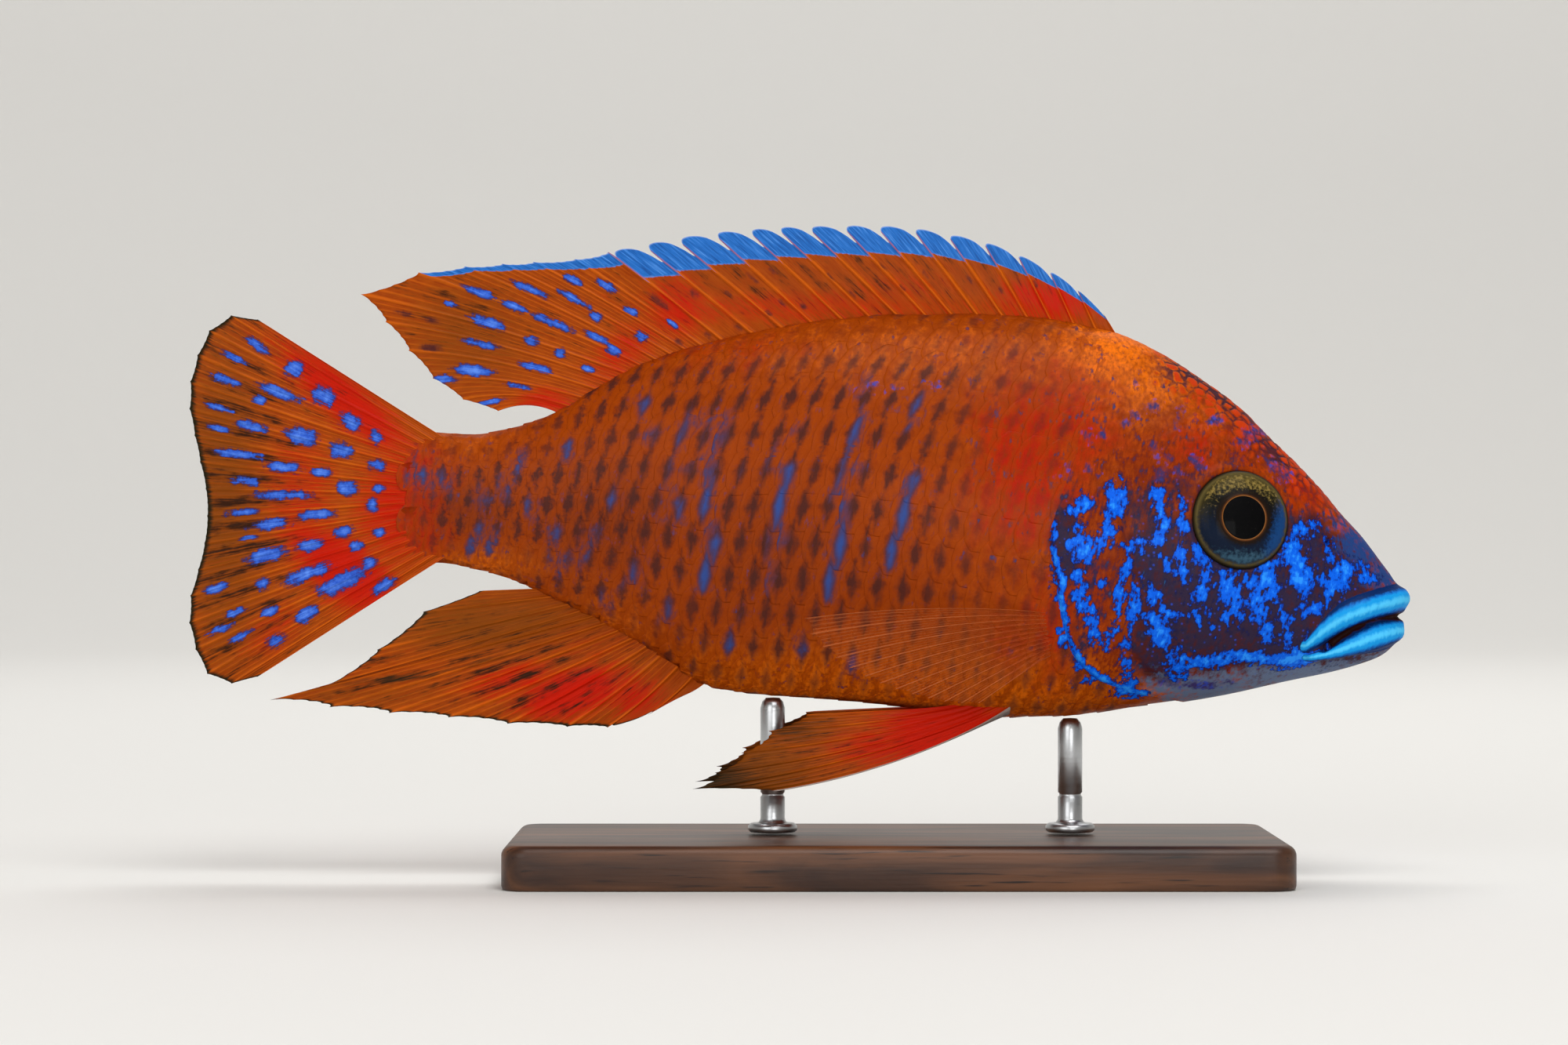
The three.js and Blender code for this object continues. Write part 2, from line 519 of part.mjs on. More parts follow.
/** Everything that belongs to the fish, in the fish's own frame. */
function fishGroup(bodyAndGap) {
  const { head, jaw, covers, eyes, trunk, stalk } = flesh();
  const coverAndGap = bodySolid(COVER_RISE + GAP).intersect(sidePrism(shifted(smoothed(GILL_COVER, COVER_CORNERS), -GAP, true)));
  const trimmed = (sheet) => sheet.subtract(bodyAndGap);
  const group = new THREE.Group();
  group.add(
    piece("head", head, MATERIALS.face),
    piece("lower_jaw", jaw, MATERIALS.jaw),
    piece("gill_cover_left", covers[0], MATERIALS.face),
    piece("gill_cover_right", covers[1], MATERIALS.face),
    piece("eye_left", eyes[0], MATERIALS.eye),
    piece("eye_right", eyes[1], MATERIALS.eye),
    piece("trunk", trunk, MATERIALS.flesh),
    piece("tail_stalk", stalk, MATERIALS.flesh),
    piece("dorsal_fin", trimmed(dorsalFin()), MATERIALS.fin),
    piece("anal_fin", trimmed(analFin()), MATERIALS.fin),
    piece("caudal_fin", trimmed(caudalFin()), MATERIALS.fin),
    piece("pelvic_fin_left", trimmed(pelvicFin(1)), MATERIALS.fin),
    piece("pelvic_fin_right", trimmed(pelvicFin(-1)), MATERIALS.fin),
    piece("pectoral_fin_left", trimmed(pectoralFin(1)).subtract(coverAndGap), MATERIALS.fin),
    piece("pectoral_fin_right", trimmed(pectoralFin(-1)).subtract(coverAndGap), MATERIALS.fin),
    piece("stand_rod_front", rod(ROD.frontX, bodyAndGap), MATERIALS.steel),
    piece("stand_rod_rear", rod(ROD.rearX, bodyAndGap), MATERIALS.steel),
  );
  group.position.z = BELLY_HEIGHT;
  return group;
}

const peacockCichlid = new THREE.Group();
peacockCichlid.add(fishGroup(bodySolid(GAP)), piece("stand_base", standBase(), MATERIALS.wood));

export default peacockCichlid;
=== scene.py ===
"""A male peacock cichlid with its fins spread, mounted on a small walnut stand.

Lengths in this file are millimetres in the fish's own frame: X runs from tail to snout, Z is
up, Y 0 is the middle of the body, and the throat lies at Z 0. Meshes are turned to metres above
the table when they are made.
"""

import functools
import logging
import math
from dataclasses import dataclass
from enum import Enum

import bmesh
import bpy
import numpy as np
from bpy.types import Material, Node, NodeSocket, NodeTree, Object
from numpy import ndarray
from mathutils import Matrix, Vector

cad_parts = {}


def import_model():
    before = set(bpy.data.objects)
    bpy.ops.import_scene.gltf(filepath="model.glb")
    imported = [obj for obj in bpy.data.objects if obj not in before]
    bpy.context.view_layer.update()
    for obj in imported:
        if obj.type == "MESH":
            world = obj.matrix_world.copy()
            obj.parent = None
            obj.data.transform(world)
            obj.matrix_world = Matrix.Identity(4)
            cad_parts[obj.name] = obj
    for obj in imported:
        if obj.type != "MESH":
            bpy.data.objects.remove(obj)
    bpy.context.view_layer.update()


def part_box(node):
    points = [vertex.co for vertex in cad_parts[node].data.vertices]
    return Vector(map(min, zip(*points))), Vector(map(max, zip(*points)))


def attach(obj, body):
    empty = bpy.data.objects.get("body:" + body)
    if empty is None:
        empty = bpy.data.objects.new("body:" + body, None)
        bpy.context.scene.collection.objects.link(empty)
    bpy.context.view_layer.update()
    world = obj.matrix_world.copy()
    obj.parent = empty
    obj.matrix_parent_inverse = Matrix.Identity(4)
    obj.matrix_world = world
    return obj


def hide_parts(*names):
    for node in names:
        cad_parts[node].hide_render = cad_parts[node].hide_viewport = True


MM = 0.001
BELLY_HEIGHT = 18.2  # the throat above the table
PHOTO_WIDTH = 2000
PHOTO_HEIGHT = 1333
MM_PER_PIXEL = 140 / 1562  # of the photograph, in the plane of the fish
PIXEL_ZERO = (1019, 917)  # the photograph's pixel at X 0, Z 0
LENS = 100
SENSOR = 36

log = logging.getLogger("peacock_cichlid")


class Side(Enum):
    """The fish's own left and right, by the direction of Y."""

    LEFT = 1
    RIGHT = -1

    def piece(self, name: str) -> str:
        """The name of a piece on this side."""
        return f"{name}_{self.name.lower()}"


# Numbers and lines


def smooth_step(low: float, high: float, value: ndarray) -> ndarray:
    """Rises smoothly from 0 at low to 1 at high, or falls if low is the larger.

    Args:
        low: The value that gives 0.
        high: The value that gives 1.
        value: Where it is read.
    Returns:
        Numbers from 0 to 1.
    """
    share = np.clip((value - low) / (high - low), 0, 1)
    return share * share * (3 - 2 * share)


def whole_turn(count: int) -> ndarray:
    """Angles at even steps round a whole turn."""
    return np.linspace(0, 2 * math.pi, count, endpoint=False)


class Line:
    """A smooth line through points that never swings past them."""

    def __init__(self, *points: tuple[float, float]) -> None:
        """Keeps the points and works out the slope at each.

        Args:
            points: Places and values, in order of place.
        """
        self.at, self.value = np.array(points, float).T
        slope = np.diff(self.value) / np.diff(self.at)
        before, after = slope[:-1], slope[1:]
        product = before * after
        total = np.where(before + after == 0, 1, before + after)
        inner = np.where(product > 0, 2 * product / total, 0)
        self.slope = np.concatenate([slope[:1], inner, slope[-1:]])

    def __call__(self, place: ndarray) -> ndarray:
        """The line's value at each place.

        Args:
            place: Where it is read; past an end it keeps the end's value.
        Returns:
            The values.
        """
        place = np.clip(place, self.at[0], self.at[-1])
        i = np.clip(np.searchsorted(self.at, place, "right") - 1, 0, len(self.at) - 2)
        span = self.at[i + 1] - self.at[i]
        t = (place - self.at[i]) / span
        rise = (2 * t**3 - 3 * t**2 + 1) * self.value[i] + (3 * t**2 - 2 * t**3) * self.value[i + 1]
        lean = (t**3 - 2 * t**2 + t) * self.slope[i] + (t**3 - t**2) * self.slope[i + 1]
        return rise + span * lean


def evenly_spaced(points: list[tuple[float, ...]], count: int) -> ndarray:
    """Places at equal steps along a rounded curve through a few points.

    Args:
        points: Points on the curve.
        count: How many places.
    Returns:
        An array of the places.
    """
    p = np.array(points, float)
    p = np.vstack([2 * p[0] - p[1], p, 2 * p[-1] - p[-2]])
    fine = []
    for a, b, c, d in zip(p, p[1:], p[2:], p[3:]):
        gaps = [max(np.linalg.norm(v - u), 1e-6) ** 0.5 for u, v in ((a, b), (b, c), (c, d))]
        start = ((b - a) / gaps[0] - (c - a) / (gaps[0] + gaps[1]) + (c - b) / gaps[1]) * gaps[1]
        end = ((c - b) / gaps[1] - (d - b) / (gaps[1] + gaps[2]) + (d - c) / gaps[2]) * gaps[1]
        t = np.linspace(0, 1, 40, endpoint=False)[:, None]
        fine.append(
            (2 * t**3 - 3 * t**2 + 1) * b
            + (t**3 - 2 * t**2 + t) * start
            + (3 * t**2 - 2 * t**3) * c
            + (t**3 - t**2) * end
        )
    curve = np.vstack(fine + [p[-2:-1]])
    run = np.concatenate([[0], np.cumsum(np.linalg.norm(np.diff(curve, axis=0), axis=1))])
    steps = np.linspace(0, run[-1], count)
    return np.stack([np.interp(steps, run, curve[:, k]) for k in range(curve.shape[1])], axis=1)


def distance_to(path: ndarray, points: ndarray, reach: float = 1e9) -> ndarray:
    """How far each point is from a path of straight runs.

    Args:
        path: The path's corners.
        points: The points.
        reach: Points farther than this from the path's box aren't measured.
    Returns:
        The distances, or 1e9 for those that aren't measured.
    """
    found = np.full(len(points), 1e9)
    near = ((points > path.min(0) - reach) & (points < path.max(0) + reach)).all(1)
    some = points[near]
    best = np.full(len(some), 1e18)
    for a, b in zip(path, path[1:]):
        run = b - a
        share = np.clip((some - a) @ run / max(run @ run, 1e-12), 0, 1)
        best = np.minimum(best, ((some - a - share[:, None] * run) ** 2).sum(1))
    found[near] = np.sqrt(best)
    return found


def inside(outline: ndarray, points: ndarray) -> ndarray:
    """Whether each point of the side view lies within a closed outline.

    Args:
        outline: The outline's corners, X and Z.
        points: The points, X and Z.
    Returns:
        True for those inside.
    """
    hit = np.zeros(len(points), bool)
    x, z = points.T
    for (ax, az), (bx, bz) in zip(outline, np.roll(outline, -1, axis=0)):
        spans = (az > z) != (bz > z)
        crossing = ax + (z - az) * (bx - ax) / (bz - az if bz != az else 1e-9)
        hit ^= spans & (x < crossing)
    return hit


def plate_gaps(points: ndarray, size: float, seed: int) -> ndarray:
    """Splits space into small irregular plates and tells how far each point is from the gaps.

    Args:
        points: The points.
        size: A plate's usual width.
        seed: Fixes the plates' places.
    Returns:
        0 in a gap, up to about 1 in the middle of a plate.
    """
    table = np.random.default_rng(seed).random((4096, 3))
    scaled = points / size
    cell = np.floor(scaled).astype(int)
    best = np.full((len(points), 2), 9.0)
    for shift in np.ndindex(3, 3, 3):
        home = cell + shift - 1
        away = np.linalg.norm(scaled - home - table[(home @ (73, 157, 311)) % 4096], axis=1)
        best = np.sort(np.column_stack([best, away]), axis=1)[:, :2]
    return best[:, 1] - best[:, 0]


# Making meshes and materials


def colour(value: str) -> tuple[float, float, float, float]:
    """Turns an sRGB hex value into linear light.

    Args:
        value: Six hex digits after a hash sign.
    Returns:
        Red, green, blue and alpha.
    """
    parts = [int(value[i : i + 2], 16) / 255 for i in (1, 3, 5)]
    linear = [p / 12.92 if p <= 0.04045 else ((p + 0.055) / 1.055) ** 2.4 for p in parts]
    return (*linear, 1.0)


def add_node(tree: NodeTree, kind: str, *values: object, **settings: object) -> Node:
    """Adds a node, sets its properties and fills its inputs.

    Args:
        tree: The node tree.
        kind: The node's type; a short one is a shader node's, its operation after a dot.
        values: For each input in turn, or in a dict by name or index: a node or socket to link
            from, or a value.
        settings: The node's own properties.
    Returns:
        The node.
    """
    kind, _, operation = kind.partition(".")
    node = tree.nodes.new(kind if "Node" in kind else f"ShaderNode{kind}")
    if operation:
        node.operation = operation
    for name, value in settings.items():
        setattr(node, name, value)
    inputs = values[0] if values and isinstance(values[0], dict) else dict(enumerate(values))
    for key, value in inputs.items():
        if isinstance(value, Node):
            value = next(socket for socket in value.outputs if socket.enabled)
        if isinstance(value, NodeSocket):
            tree.links.new(value, node.inputs[key])
        else:
            node.inputs[key].default_value = value
    return node


def grid_faces(rows: int, columns: int, wrapped: bool = False) -> list[tuple[int, ...]]:
    """Four-sided faces between the points of a grid that is stored row by row.

    Args:
        rows: Points down.
        columns: Points across.
        wrapped: Whether the last column joins the first.
    Returns:
        The faces.
    """
    faces = []
    for first in range(0, (rows - 1) * columns, columns):
        for c in range(columns if wrapped else columns - 1):
            a, b = first + c, first + (c + 1) % columns
            faces.append((a, b, b + columns, a + columns))
    return faces


def bell(away: ndarray, half: float) -> ndarray:
    """1 where a distance is zero, a half where it is half, and soon nothing."""
    return np.exp2(-((np.minimum(away, 9) / half) ** 2))


def tube_faces(rings: int, around: int) -> list[tuple[int, ...]]:
    """The faces of a tube of closed rings, with its two ends closed."""
    ends = [tuple(range(around))[::-1], tuple(range((rings - 1) * around, rings * around))]
    return grid_faces(rings, around, wrapped=True) + ends


def above_table(points: ndarray) -> ndarray:
    """Places in the fish's frame turned to metres above the table."""
    return (np.asarray(points) + (0, 0, BELLY_HEIGHT)) * MM


def make_mesh(name: str, points: ndarray, faces: list, finish: Material | None = None,
              in_place: bool = True, closed: bool = True) -> Object:
    """Makes a mesh object with smooth faces.

    Args:
        name: The piece's name.
        points: Its points in millimetres.
        faces: Its faces.
        finish: Its material.
        in_place: Whether to turn it to metres above the table.
        closed: Whether it encloses a space, so that its faces are turned outwards.
    Returns:
        The object.
    """
    mesh = bpy.data.meshes.new(name)
    placed = above_table(points) if in_place else np.asarray(points)
    mesh.from_pydata(placed.tolist(), [], [tuple(f) for f in faces])
    mesh.validate()
    if closed:
        form = bmesh.new()
        form.from_mesh(mesh)
        bmesh.ops.recalc_face_normals(form, faces=form.faces)
        form.to_mesh(mesh)
        form.free()
    mesh.shade_smooth()
    if finish:
        mesh.materials.append(finish)
    made = bpy.data.objects.new(name, mesh)
    bpy.context.scene.collection.objects.link(made)
    return made


def points_of(piece: Object) -> ndarray:
    """A mesh object's points as an array."""
    flat = np.empty(len(piece.data.vertices) * 3, np.float32)
    piece.data.vertices.foreach_get("co", flat)
    return flat.reshape(-1, 3).astype(float)


def move_points(piece: Object, points: ndarray) -> None:
    """Moves a piece's points to places in the fish's frame."""
    piece.data.vertices.foreach_set("co", above_table(points).ravel())
    piece.data.update()
    piece.data.shade_smooth()


def store(piece: Object, name: str, *values: ndarray) -> None:
    """Stores three numbers for each point, which a material reads as a colour.

    Args:
        piece: The mesh object.
        name: The attribute's name.
        values: Three arrays of a number for each point.
    """
    layer = piece.data.attributes.new(name, "FLOAT_COLOR", "POINT")
    rgba = np.stack([*values, np.ones(len(values[0]))], axis=1, dtype=np.float32, casting="unsafe")
    layer.data.foreach_set("color", rgba.ravel())


def finished(piece: Object) -> Object:
    """Applies a piece's modifiers and returns it as a plain mesh."""
    graph = bpy.context.evaluated_depsgraph_get()
    mesh = bpy.data.meshes.new_from_object(piece.evaluated_get(graph), depsgraph=graph)
    old = piece.data
    piece.modifiers.clear()
    piece.data = mesh
    bpy.data.meshes.remove(old)
    return piece


# The fish's form


@dataclass(frozen=True)
class FishForm:
    """The plain body that skin, scales, eyes and fins are set against."""

    tail_end: float = -45
    snout_end: float = 68.6
    back: Line = Line(
        (-45, 32.9), (-41, 32.8), (-37, 32.6), (-33, 33.4), (-29, 34.6), (-24, 37.5), (-17.8, 40.8),
        (-10.7, 43.1), (-1.7, 45), (7.3, 46.2), (16.2, 46.5), (25.2, 46.2), (35.5, 44.4), (41.3, 41.9),
        (45.8, 39), (50.3, 35.7), (54, 32), (56.6, 29.5), (59.7, 26.2), (61.9, 23.5), (64.2, 21),
        (66.4, 18.1), (68, 15.9), (68.6, 14.6),
    )
    belly: Line = Line(
        (-45, 17.6), (-41, 17.8), (-38, 17.3), (-34, 16.2), (-30.4, 14.8), (-27.2, 13.1), (-20.8, 9.9),
        (-15.9, 7), (-11.3, 4), (-8, 3), (-2.9, 2.5), (5.5, 2), (14.4, 1), (23.4, 0.1), (28.8, 0.2),
        (36.8, 1), (43.1, 1.8), (48.5, 2.7), (55.7, 4.3), (61, 5.4), (64.5, 6.4), (66.5, 7.2), (68, 8.5),
        (68.6, 9.6),
    )
    half_width: Line = Line(
        (-45, 0.9), (-41, 1.9), (-34, 3.1), (-28, 4.2), (-18, 6.3), (-6, 8.3), (8, 9.6), (20, 10), (32, 10.1),
        (42, 9.9), (50, 9), (56, 7.7), (61, 6), (65, 4.5), (67.4, 3), (68.6, 1.6),
    )
    widest: Line = Line((-45, 0.5), (-10, 0.52), (20, 0.47), (40, 0.42), (56, 0.4), (68.6, 0.42))
    full_above: Line = Line((-45, 2), (-20, 1.8), (25, 1.72), (42, 1.85), (55, 2.1), (68.6, 2.2))
    full_below: Line = Line((-45, 2), (-10, 1.75), (15, 1.95), (40, 2.1), (60, 2.1), (68.6, 2.2))

    def level(self, x: ndarray) -> ndarray:
        """The height at which the body is widest."""
        bottom = self.belly(x)
        return bottom + self.widest(x) * (self.back(x) - bottom)

    def surface(self, x: ndarray, angle: ndarray) -> ndarray:
        """Points on the left flank.

        Args:
            x: Places along the body.
            angle: Angles round it, from the widest level up; past a quarter turn it is the right flank.
        Returns:
            The points.
        """
        x, angle = np.broadcast_arrays(np.asarray(x, float), np.asarray(angle, float))
        c, s = np.cos(angle), np.sin(angle)
        full = np.where(s > 0, self.full_above(x), self.full_below(x))
        level = self.level(x)
        reach = np.where(s > 0, self.back(x) - level, level - self.belly(x))
        y = self.half_width(x) * np.sign(c) * np.abs(c) ** (2 / full)
        z = level + reach * np.sign(s) * np.abs(s) ** (2 / full)
        return np.stack([x, y, z], axis=-1)

    def outward(self, x: ndarray, angle: ndarray) -> ndarray:
        """The direction straight out of the skin at each place.

        Args:
            x: Places along the body.
            angle: Angles round it.
        Returns:
            Unit directions.
        """
        along = self.surface(x + 0.4, angle) - self.surface(x - 0.4, angle)
        around = self.surface(x, angle + 0.04) - self.surface(x, angle - 0.04)
        straight = np.cross(around, along)
        return straight / np.maximum(np.linalg.norm(straight, axis=-1, keepdims=True), 1e-9)

    def side_y(self, x: ndarray, z: ndarray) -> ndarray:
        """How far the left flank stands out at a height.

        Args:
            x: Places along the body.
            z: Heights.
        Returns:
            The half width there.
        """
        level = self.level(x)
        up = z > level
        reach = np.where(up, self.back(x) - level, level - self.belly(x))
        full = np.where(up, self.full_above(x), self.full_below(x))
        share = np.clip(np.abs(z - level) / reach, 0, 1)
        return self.half_width(x) * (1 - share**full) ** (1 / full)


FORM = FishForm()


class Unrolled:
    """The left flank laid flat: place along the body, and millimetres up from its widest level."""

    along: float = 0.5  # between the places where the girth is measured
    around: float = 0.25  # between the points of a girth

    def __init__(self, form: FishForm) -> None:
        """Measures the girth of the body at many places.

        Args:
            form: The body.
        """
        self.x = np.arange(-47, 60.01, self.along)
        self.girth = np.arange(-44, 44.01, self.around)
        angles = np.linspace(-math.pi / 2 - 0.7, math.pi / 2 + 0.7, 500)
        middle = np.searchsorted(angles, 0)
        self.angle = np.empty((len(self.x), len(self.girth)))
        self.top = np.empty(len(self.x))
        self.bottom = np.empty(len(self.x))
        for i, x in enumerate(self.x):
            ring = form.surface(np.full(len(angles), x), angles)
            run = np.concatenate([[0], np.cumsum(np.linalg.norm(np.diff(ring, axis=0), axis=1))])
            run -= run[middle]
            self.angle[i] = np.interp(self.girth, run, angles)
            self.top[i] = np.interp(math.pi / 2, angles, run)
            self.bottom[i] = np.interp(-math.pi / 2, angles, run)

    def reach(self, x: ndarray) -> tuple[ndarray, ndarray]:
        """The girth from the widest level down to the belly and up to the back."""
        return np.interp(x, self.x, self.bottom), np.interp(x, self.x, self.top)

    def angle_at(self, x: ndarray, up: ndarray) -> ndarray:
        """The angle round the body at places of the flat sheet.

        Args:
            x: Places along the body.
            up: Millimetres up from the widest level.
        Returns:
            The angles.
        """
        i = np.clip((x - self.x[0]) / self.along, 0, len(self.x) - 1.001)
        j = np.clip((up - self.girth[0]) / self.around, 0, len(self.girth) - 1.001)
        i0, j0 = i.astype(int), j.astype(int)
        di, dj = i - i0, j - j0
        low = self.angle[i0, j0] * (1 - dj) + self.angle[i0, j0 + 1] * dj
        high = self.angle[i0 + 1, j0] * (1 - dj) + self.angle[i0 + 1, j0 + 1] * dj
        return low * (1 - di) + high * di


# Where the colours lie

SIGHT_LINE = (
    (PHOTO_WIDTH / 2 - PIXEL_ZERO[0]) * MM_PER_PIXEL,
    (PIXEL_ZERO[1] - PHOTO_HEIGHT / 2) * MM_PER_PIXEL,
)
SIGHT_AWAY = PHOTO_WIDTH * MM_PER_PIXEL * LENS / SENSOR


def as_measured(points: ndarray) -> ndarray:
    """The side-view places at which points of either flank show in the photograph.

    The near flank is closer to the lens than the fish's middle, so it shows a little larger, and
    whatever was measured on the photograph is laid on the flank with that allowed for.

    Args:
        points: The points.
    Returns:
        X and Z as measured.
    """
    nearer = SIGHT_AWAY / (SIGHT_AWAY - np.abs(points[:, 1]))
    return SIGHT_LINE + (points[:, [0, 2]] - SIGHT_LINE) * nearer[:, None]


@dataclass(frozen=True)
class Patch:
    """A soft oval of colour in the side view."""

    x: float
    z: float
    long: float
    high: float
    amount: float = 1.0
    turn: float = 0.0  # degrees, top towards the tail

    def cover(self, points: ndarray) -> ndarray:
        """How strongly the patch colours points of the side view; half of it at its edge."""
        angle = math.radians(self.turn)
        dx, dz = points[:, 0] - self.x, points[:, 1] - self.z
        across = dx * math.cos(angle) + dz * math.sin(angle)
        up = dz * math.cos(angle) - dx * math.sin(angle)
        return self.amount * np.exp2(-((across / self.long) ** 2 + (up / self.high) ** 2))


@dataclass(frozen=True)
class Stroke:
    """A brushed line of colour in the side view."""

    points: tuple[tuple[float, float], ...]
    half_width: float
    amount: float = 1.0

    def cover(self, points: ndarray) -> ndarray:
        """How strongly the stroke colours points of the side view; half of it at its edge."""
        away = distance_to(np.array(self.points, float), points, 3 * self.half_width)
        return self.amount * bell(away, self.half_width)


def patches(*rows: tuple[float, ...]) -> tuple[Patch, ...]:
    """Patches, from rows of their measures."""
    return tuple(Patch(*row) for row in rows)


def strokes(*rows: tuple[float, ...]) -> tuple[Stroke, ...]:
    """Strokes, each from its half width, its amount, and the X and Z of its points."""
    return tuple(Stroke(tuple(zip(row[2::2], row[3::2])), *row[:2]) for row in rows)


def strongest(parts: tuple, points: ndarray) -> ndarray:
    """The strongest cover that any patch or stroke gives to each point."""
    return np.max([part.cover(points) for part in parts] or [np.zeros(len(points))], axis=0)


@dataclass(frozen=True)
class BodyColours:
    """Where each colour of the body and head lies, in the side view."""

    red: tuple = patches(
        (26, 29, 6.5, 10, 0.9), (31, 33, 5, 9, 0.75), (16, 24, 9, 12, 0.25), (53, 33, 6, 5, 0.55),
        (58, 26, 4, 4, 0.6), (33, 14, 4, 8, 0.4), (29, 11, 3, 8, 0.7), (-44, 25, 5, 9, 0.75),
        (20, 42, 14, 3, 0.35), (45, 31, 4, 3, 0.7), (50, 17, 6, 2, 0.4), (-8, 42, 14, 3, 0.45),
        (39, 30, 4, 3, 0.4), (30, 20, 3, 4, 0.6),
    )
    # The patch at X 24 under the belly is partly the belly's own ochre and partly painted light, lightening
    # where the pectoral and pelvic fins shade it.
    gold: tuple = patches(
        (35, 43, 6.5, 4, 1.1), (40, 39, 6, 4, 0.7), (33, 38, 4, 4, 0.5), (14, 42, 24, 4, 0.5),
        (-22, 10, 9, 5, 0.5, -30), (8, 4, 26, 5, 0.9), (24, 2.5, 14, 3.4, 0.95), (-38, 32, 6, 2.5, 0.4),
        (-36, 17.5, 8, 2.2, 0.7), (38, 3, 10, 2.2, 0.6), (47, 35, 5, 2.5, 0.4),
    )
    shade: tuple = patches(
        (-36, 24, 8, 4.5, 0.75), (-22, 23, 12, 8, 0.8), (-4, 19, 12, 12, 0.65), (9, 16, 10, 9, 0.45),
        (-10, 35, 12, 6, 0.4), (8, 33, 12, 6, 0.3), (8, 7, 16, 4, 0.35),
    )
    brown: tuple = patches(
        (34, 17, 4.5, 9, 0.85), (37, 8, 4, 4, 0.8), (41, 27, 7, 5, 0.8), (36, 25, 5, 4, 0.7),
        (50, 30, 5, 2, 0.6), (55, 24, 2.5, 5, 0.5),
    )
    cheek: tuple = patches(
        (47, 14, 7, 8, 0.95), (54, 13, 7, 7), (60, 15, 5, 5), (58, 20, 3, 3, 0.8), (41, 18, 3.5, 7, 0.75),
        (42, 9, 4, 5, 0.75), (57, 8, 9, 3), (30.6, 20, 1.6, 4, 0.9), (44, 26, 3, 2.5, 0.45),
        (39, 24, 3, 3, 0.45), (32, 8, 1.5, 4, 0.4),
    )
    net: tuple = strokes(
        (2.6, 1, 43, 40.4, 47, 37.8, 50.5, 34.9, 54, 31.6, 57.5, 28), (1.5, 0.65, 54, 31, 57.5, 27, 61.3, 23),
    ) + patches((54, 27, 2.6, 4, 0.35))
    chin: tuple = patches((58, 5, 9, 2), (47, 3.4, 8, 2), (66, 7.5, 3, 1.5, 0.7))
    snout: tuple = patches((64.5, 19.5, 3, 3.4, 1, 40), (66.5, 16.5, 2.5, 2), (62, 22.5, 2, 1.5, 0.7, 40))
    blue: tuple = strokes(
        (
            0.36, 1.9, 29, 19.4, 29.7, 17.3, 30.2, 15.8, 29.7, 14.4, 30.2, 12.2, 30.4, 10.2,
            31.2, 8.5, 32.1, 6.6, 33.8, 5.2, 35.5, 3.9, 37.7, 3.2, 39.6, 2.7,
        ),
        (0.58, 1, 31.8, 16.5, 32.1, 14.1, 33.1, 11.9, 34.1, 9),
        (0.48, 1, 37.6, 19.4, 37.2, 15.8, 36.7, 13.9, 36.5, 11.5, 35.3, 8.3),
        (0.48, 1, 38.6, 16.3, 38.4, 13.4, 37.7, 11, 37, 7.3, 37.5, 5.2, 38.2, 3.7),
        (0.44, 1, 34.6, 15.6, 34.6, 15.5), (0.58, 1, 40.3, 14.8, 40.6, 13.5),
        (0.41, 1, 41.6, 18.5, 42.1, 17.3), (0.73, 1, 43.9, 19.4, 43.6, 17.8, 44, 16.3),
        (0.63, 1, 45.5, 19.2, 46.2, 16.8, 46.9, 15.3, 45.5, 13.6),
        (0.97, 1, 49.3, 15.8, 49.3, 14.1, 49.6, 12.2), (0.87, 1, 51.8, 15.6, 52.5, 13.9, 53, 11.7, 53.5, 9.8),
        (0.73, 1, 53.5, 17.3, 53.5, 15.8, 53.9, 14.1),
        (0.31, 1, 41.1, 14.4, 41.6, 12.4, 42.3, 12.1, 44.5, 11.9),
        (0.82, 1, 40.6, 11.5, 41.3, 9.3, 42.6, 7.6, 43.3, 5.6), (0.27, 1, 45.2, 12.2, 45.9, 10.7),
        (0.31, 1, 46.7, 12.7, 47.6, 9.5), (0.65, 1, 55.2, 12.2, 55.9, 11.2),
        (1.16, 1, 56.6, 18.5, 57.3, 16.5, 58.5, 15.1, 60.5, 15.1, 62.9, 16.5),
        (0.68, 1, 57.6, 12.4, 60, 12.9), (0.85, 1, 61.7, 17.6, 63.4, 16.7, 65.2, 16.4),
        (0.55, 1.5, 44, 6.9, 46.9, 6.6, 49.3, 6.9, 52.2, 7.1, 54.7, 6.6, 57.6, 6.9, 60.5, 7.6, 62.4, 8.1),
        (0.44, 1, 55.9, 9.5, 56.1, 8.3, 57.6, 7.3), (0.75, 1, 36.2, 26.6, 36.5, 24),
        (0.67, 1, 32.7, 25.2, 31.5, 23.7), (0.37, 1, 29.1, 22.3, 29.2, 20.8),
        (0.85, 1, 31.9, 21.6, 31.4, 19.3, 32.9, 19.1, 34.6, 20.6, 35.3, 21.3),
        (0.45, 1, 35.2, 23.1, 35.2, 22.3), (0.65, 1, 41.1, 25.8, 41.2, 24.3, 41.8, 22.8, 41.1, 20.6),
        (0.5, 1, 43.8, 25.3, 43.8, 23.8, 43.9, 21.6), (0.35, 1, 37, 20, 37.8, 20.2, 39.3, 20.3, 39.3, 19.3),
        (1, 1, 56.8, 19.6, 56, 18.4), (0.8, 1, 57.6, 21.2, 57.7, 21.1), (0.55, 1, 58.7, 22.1, 59, 22.1),
        (0.55, 1, 60.2, 20.3, 60.4, 19.6),
    )
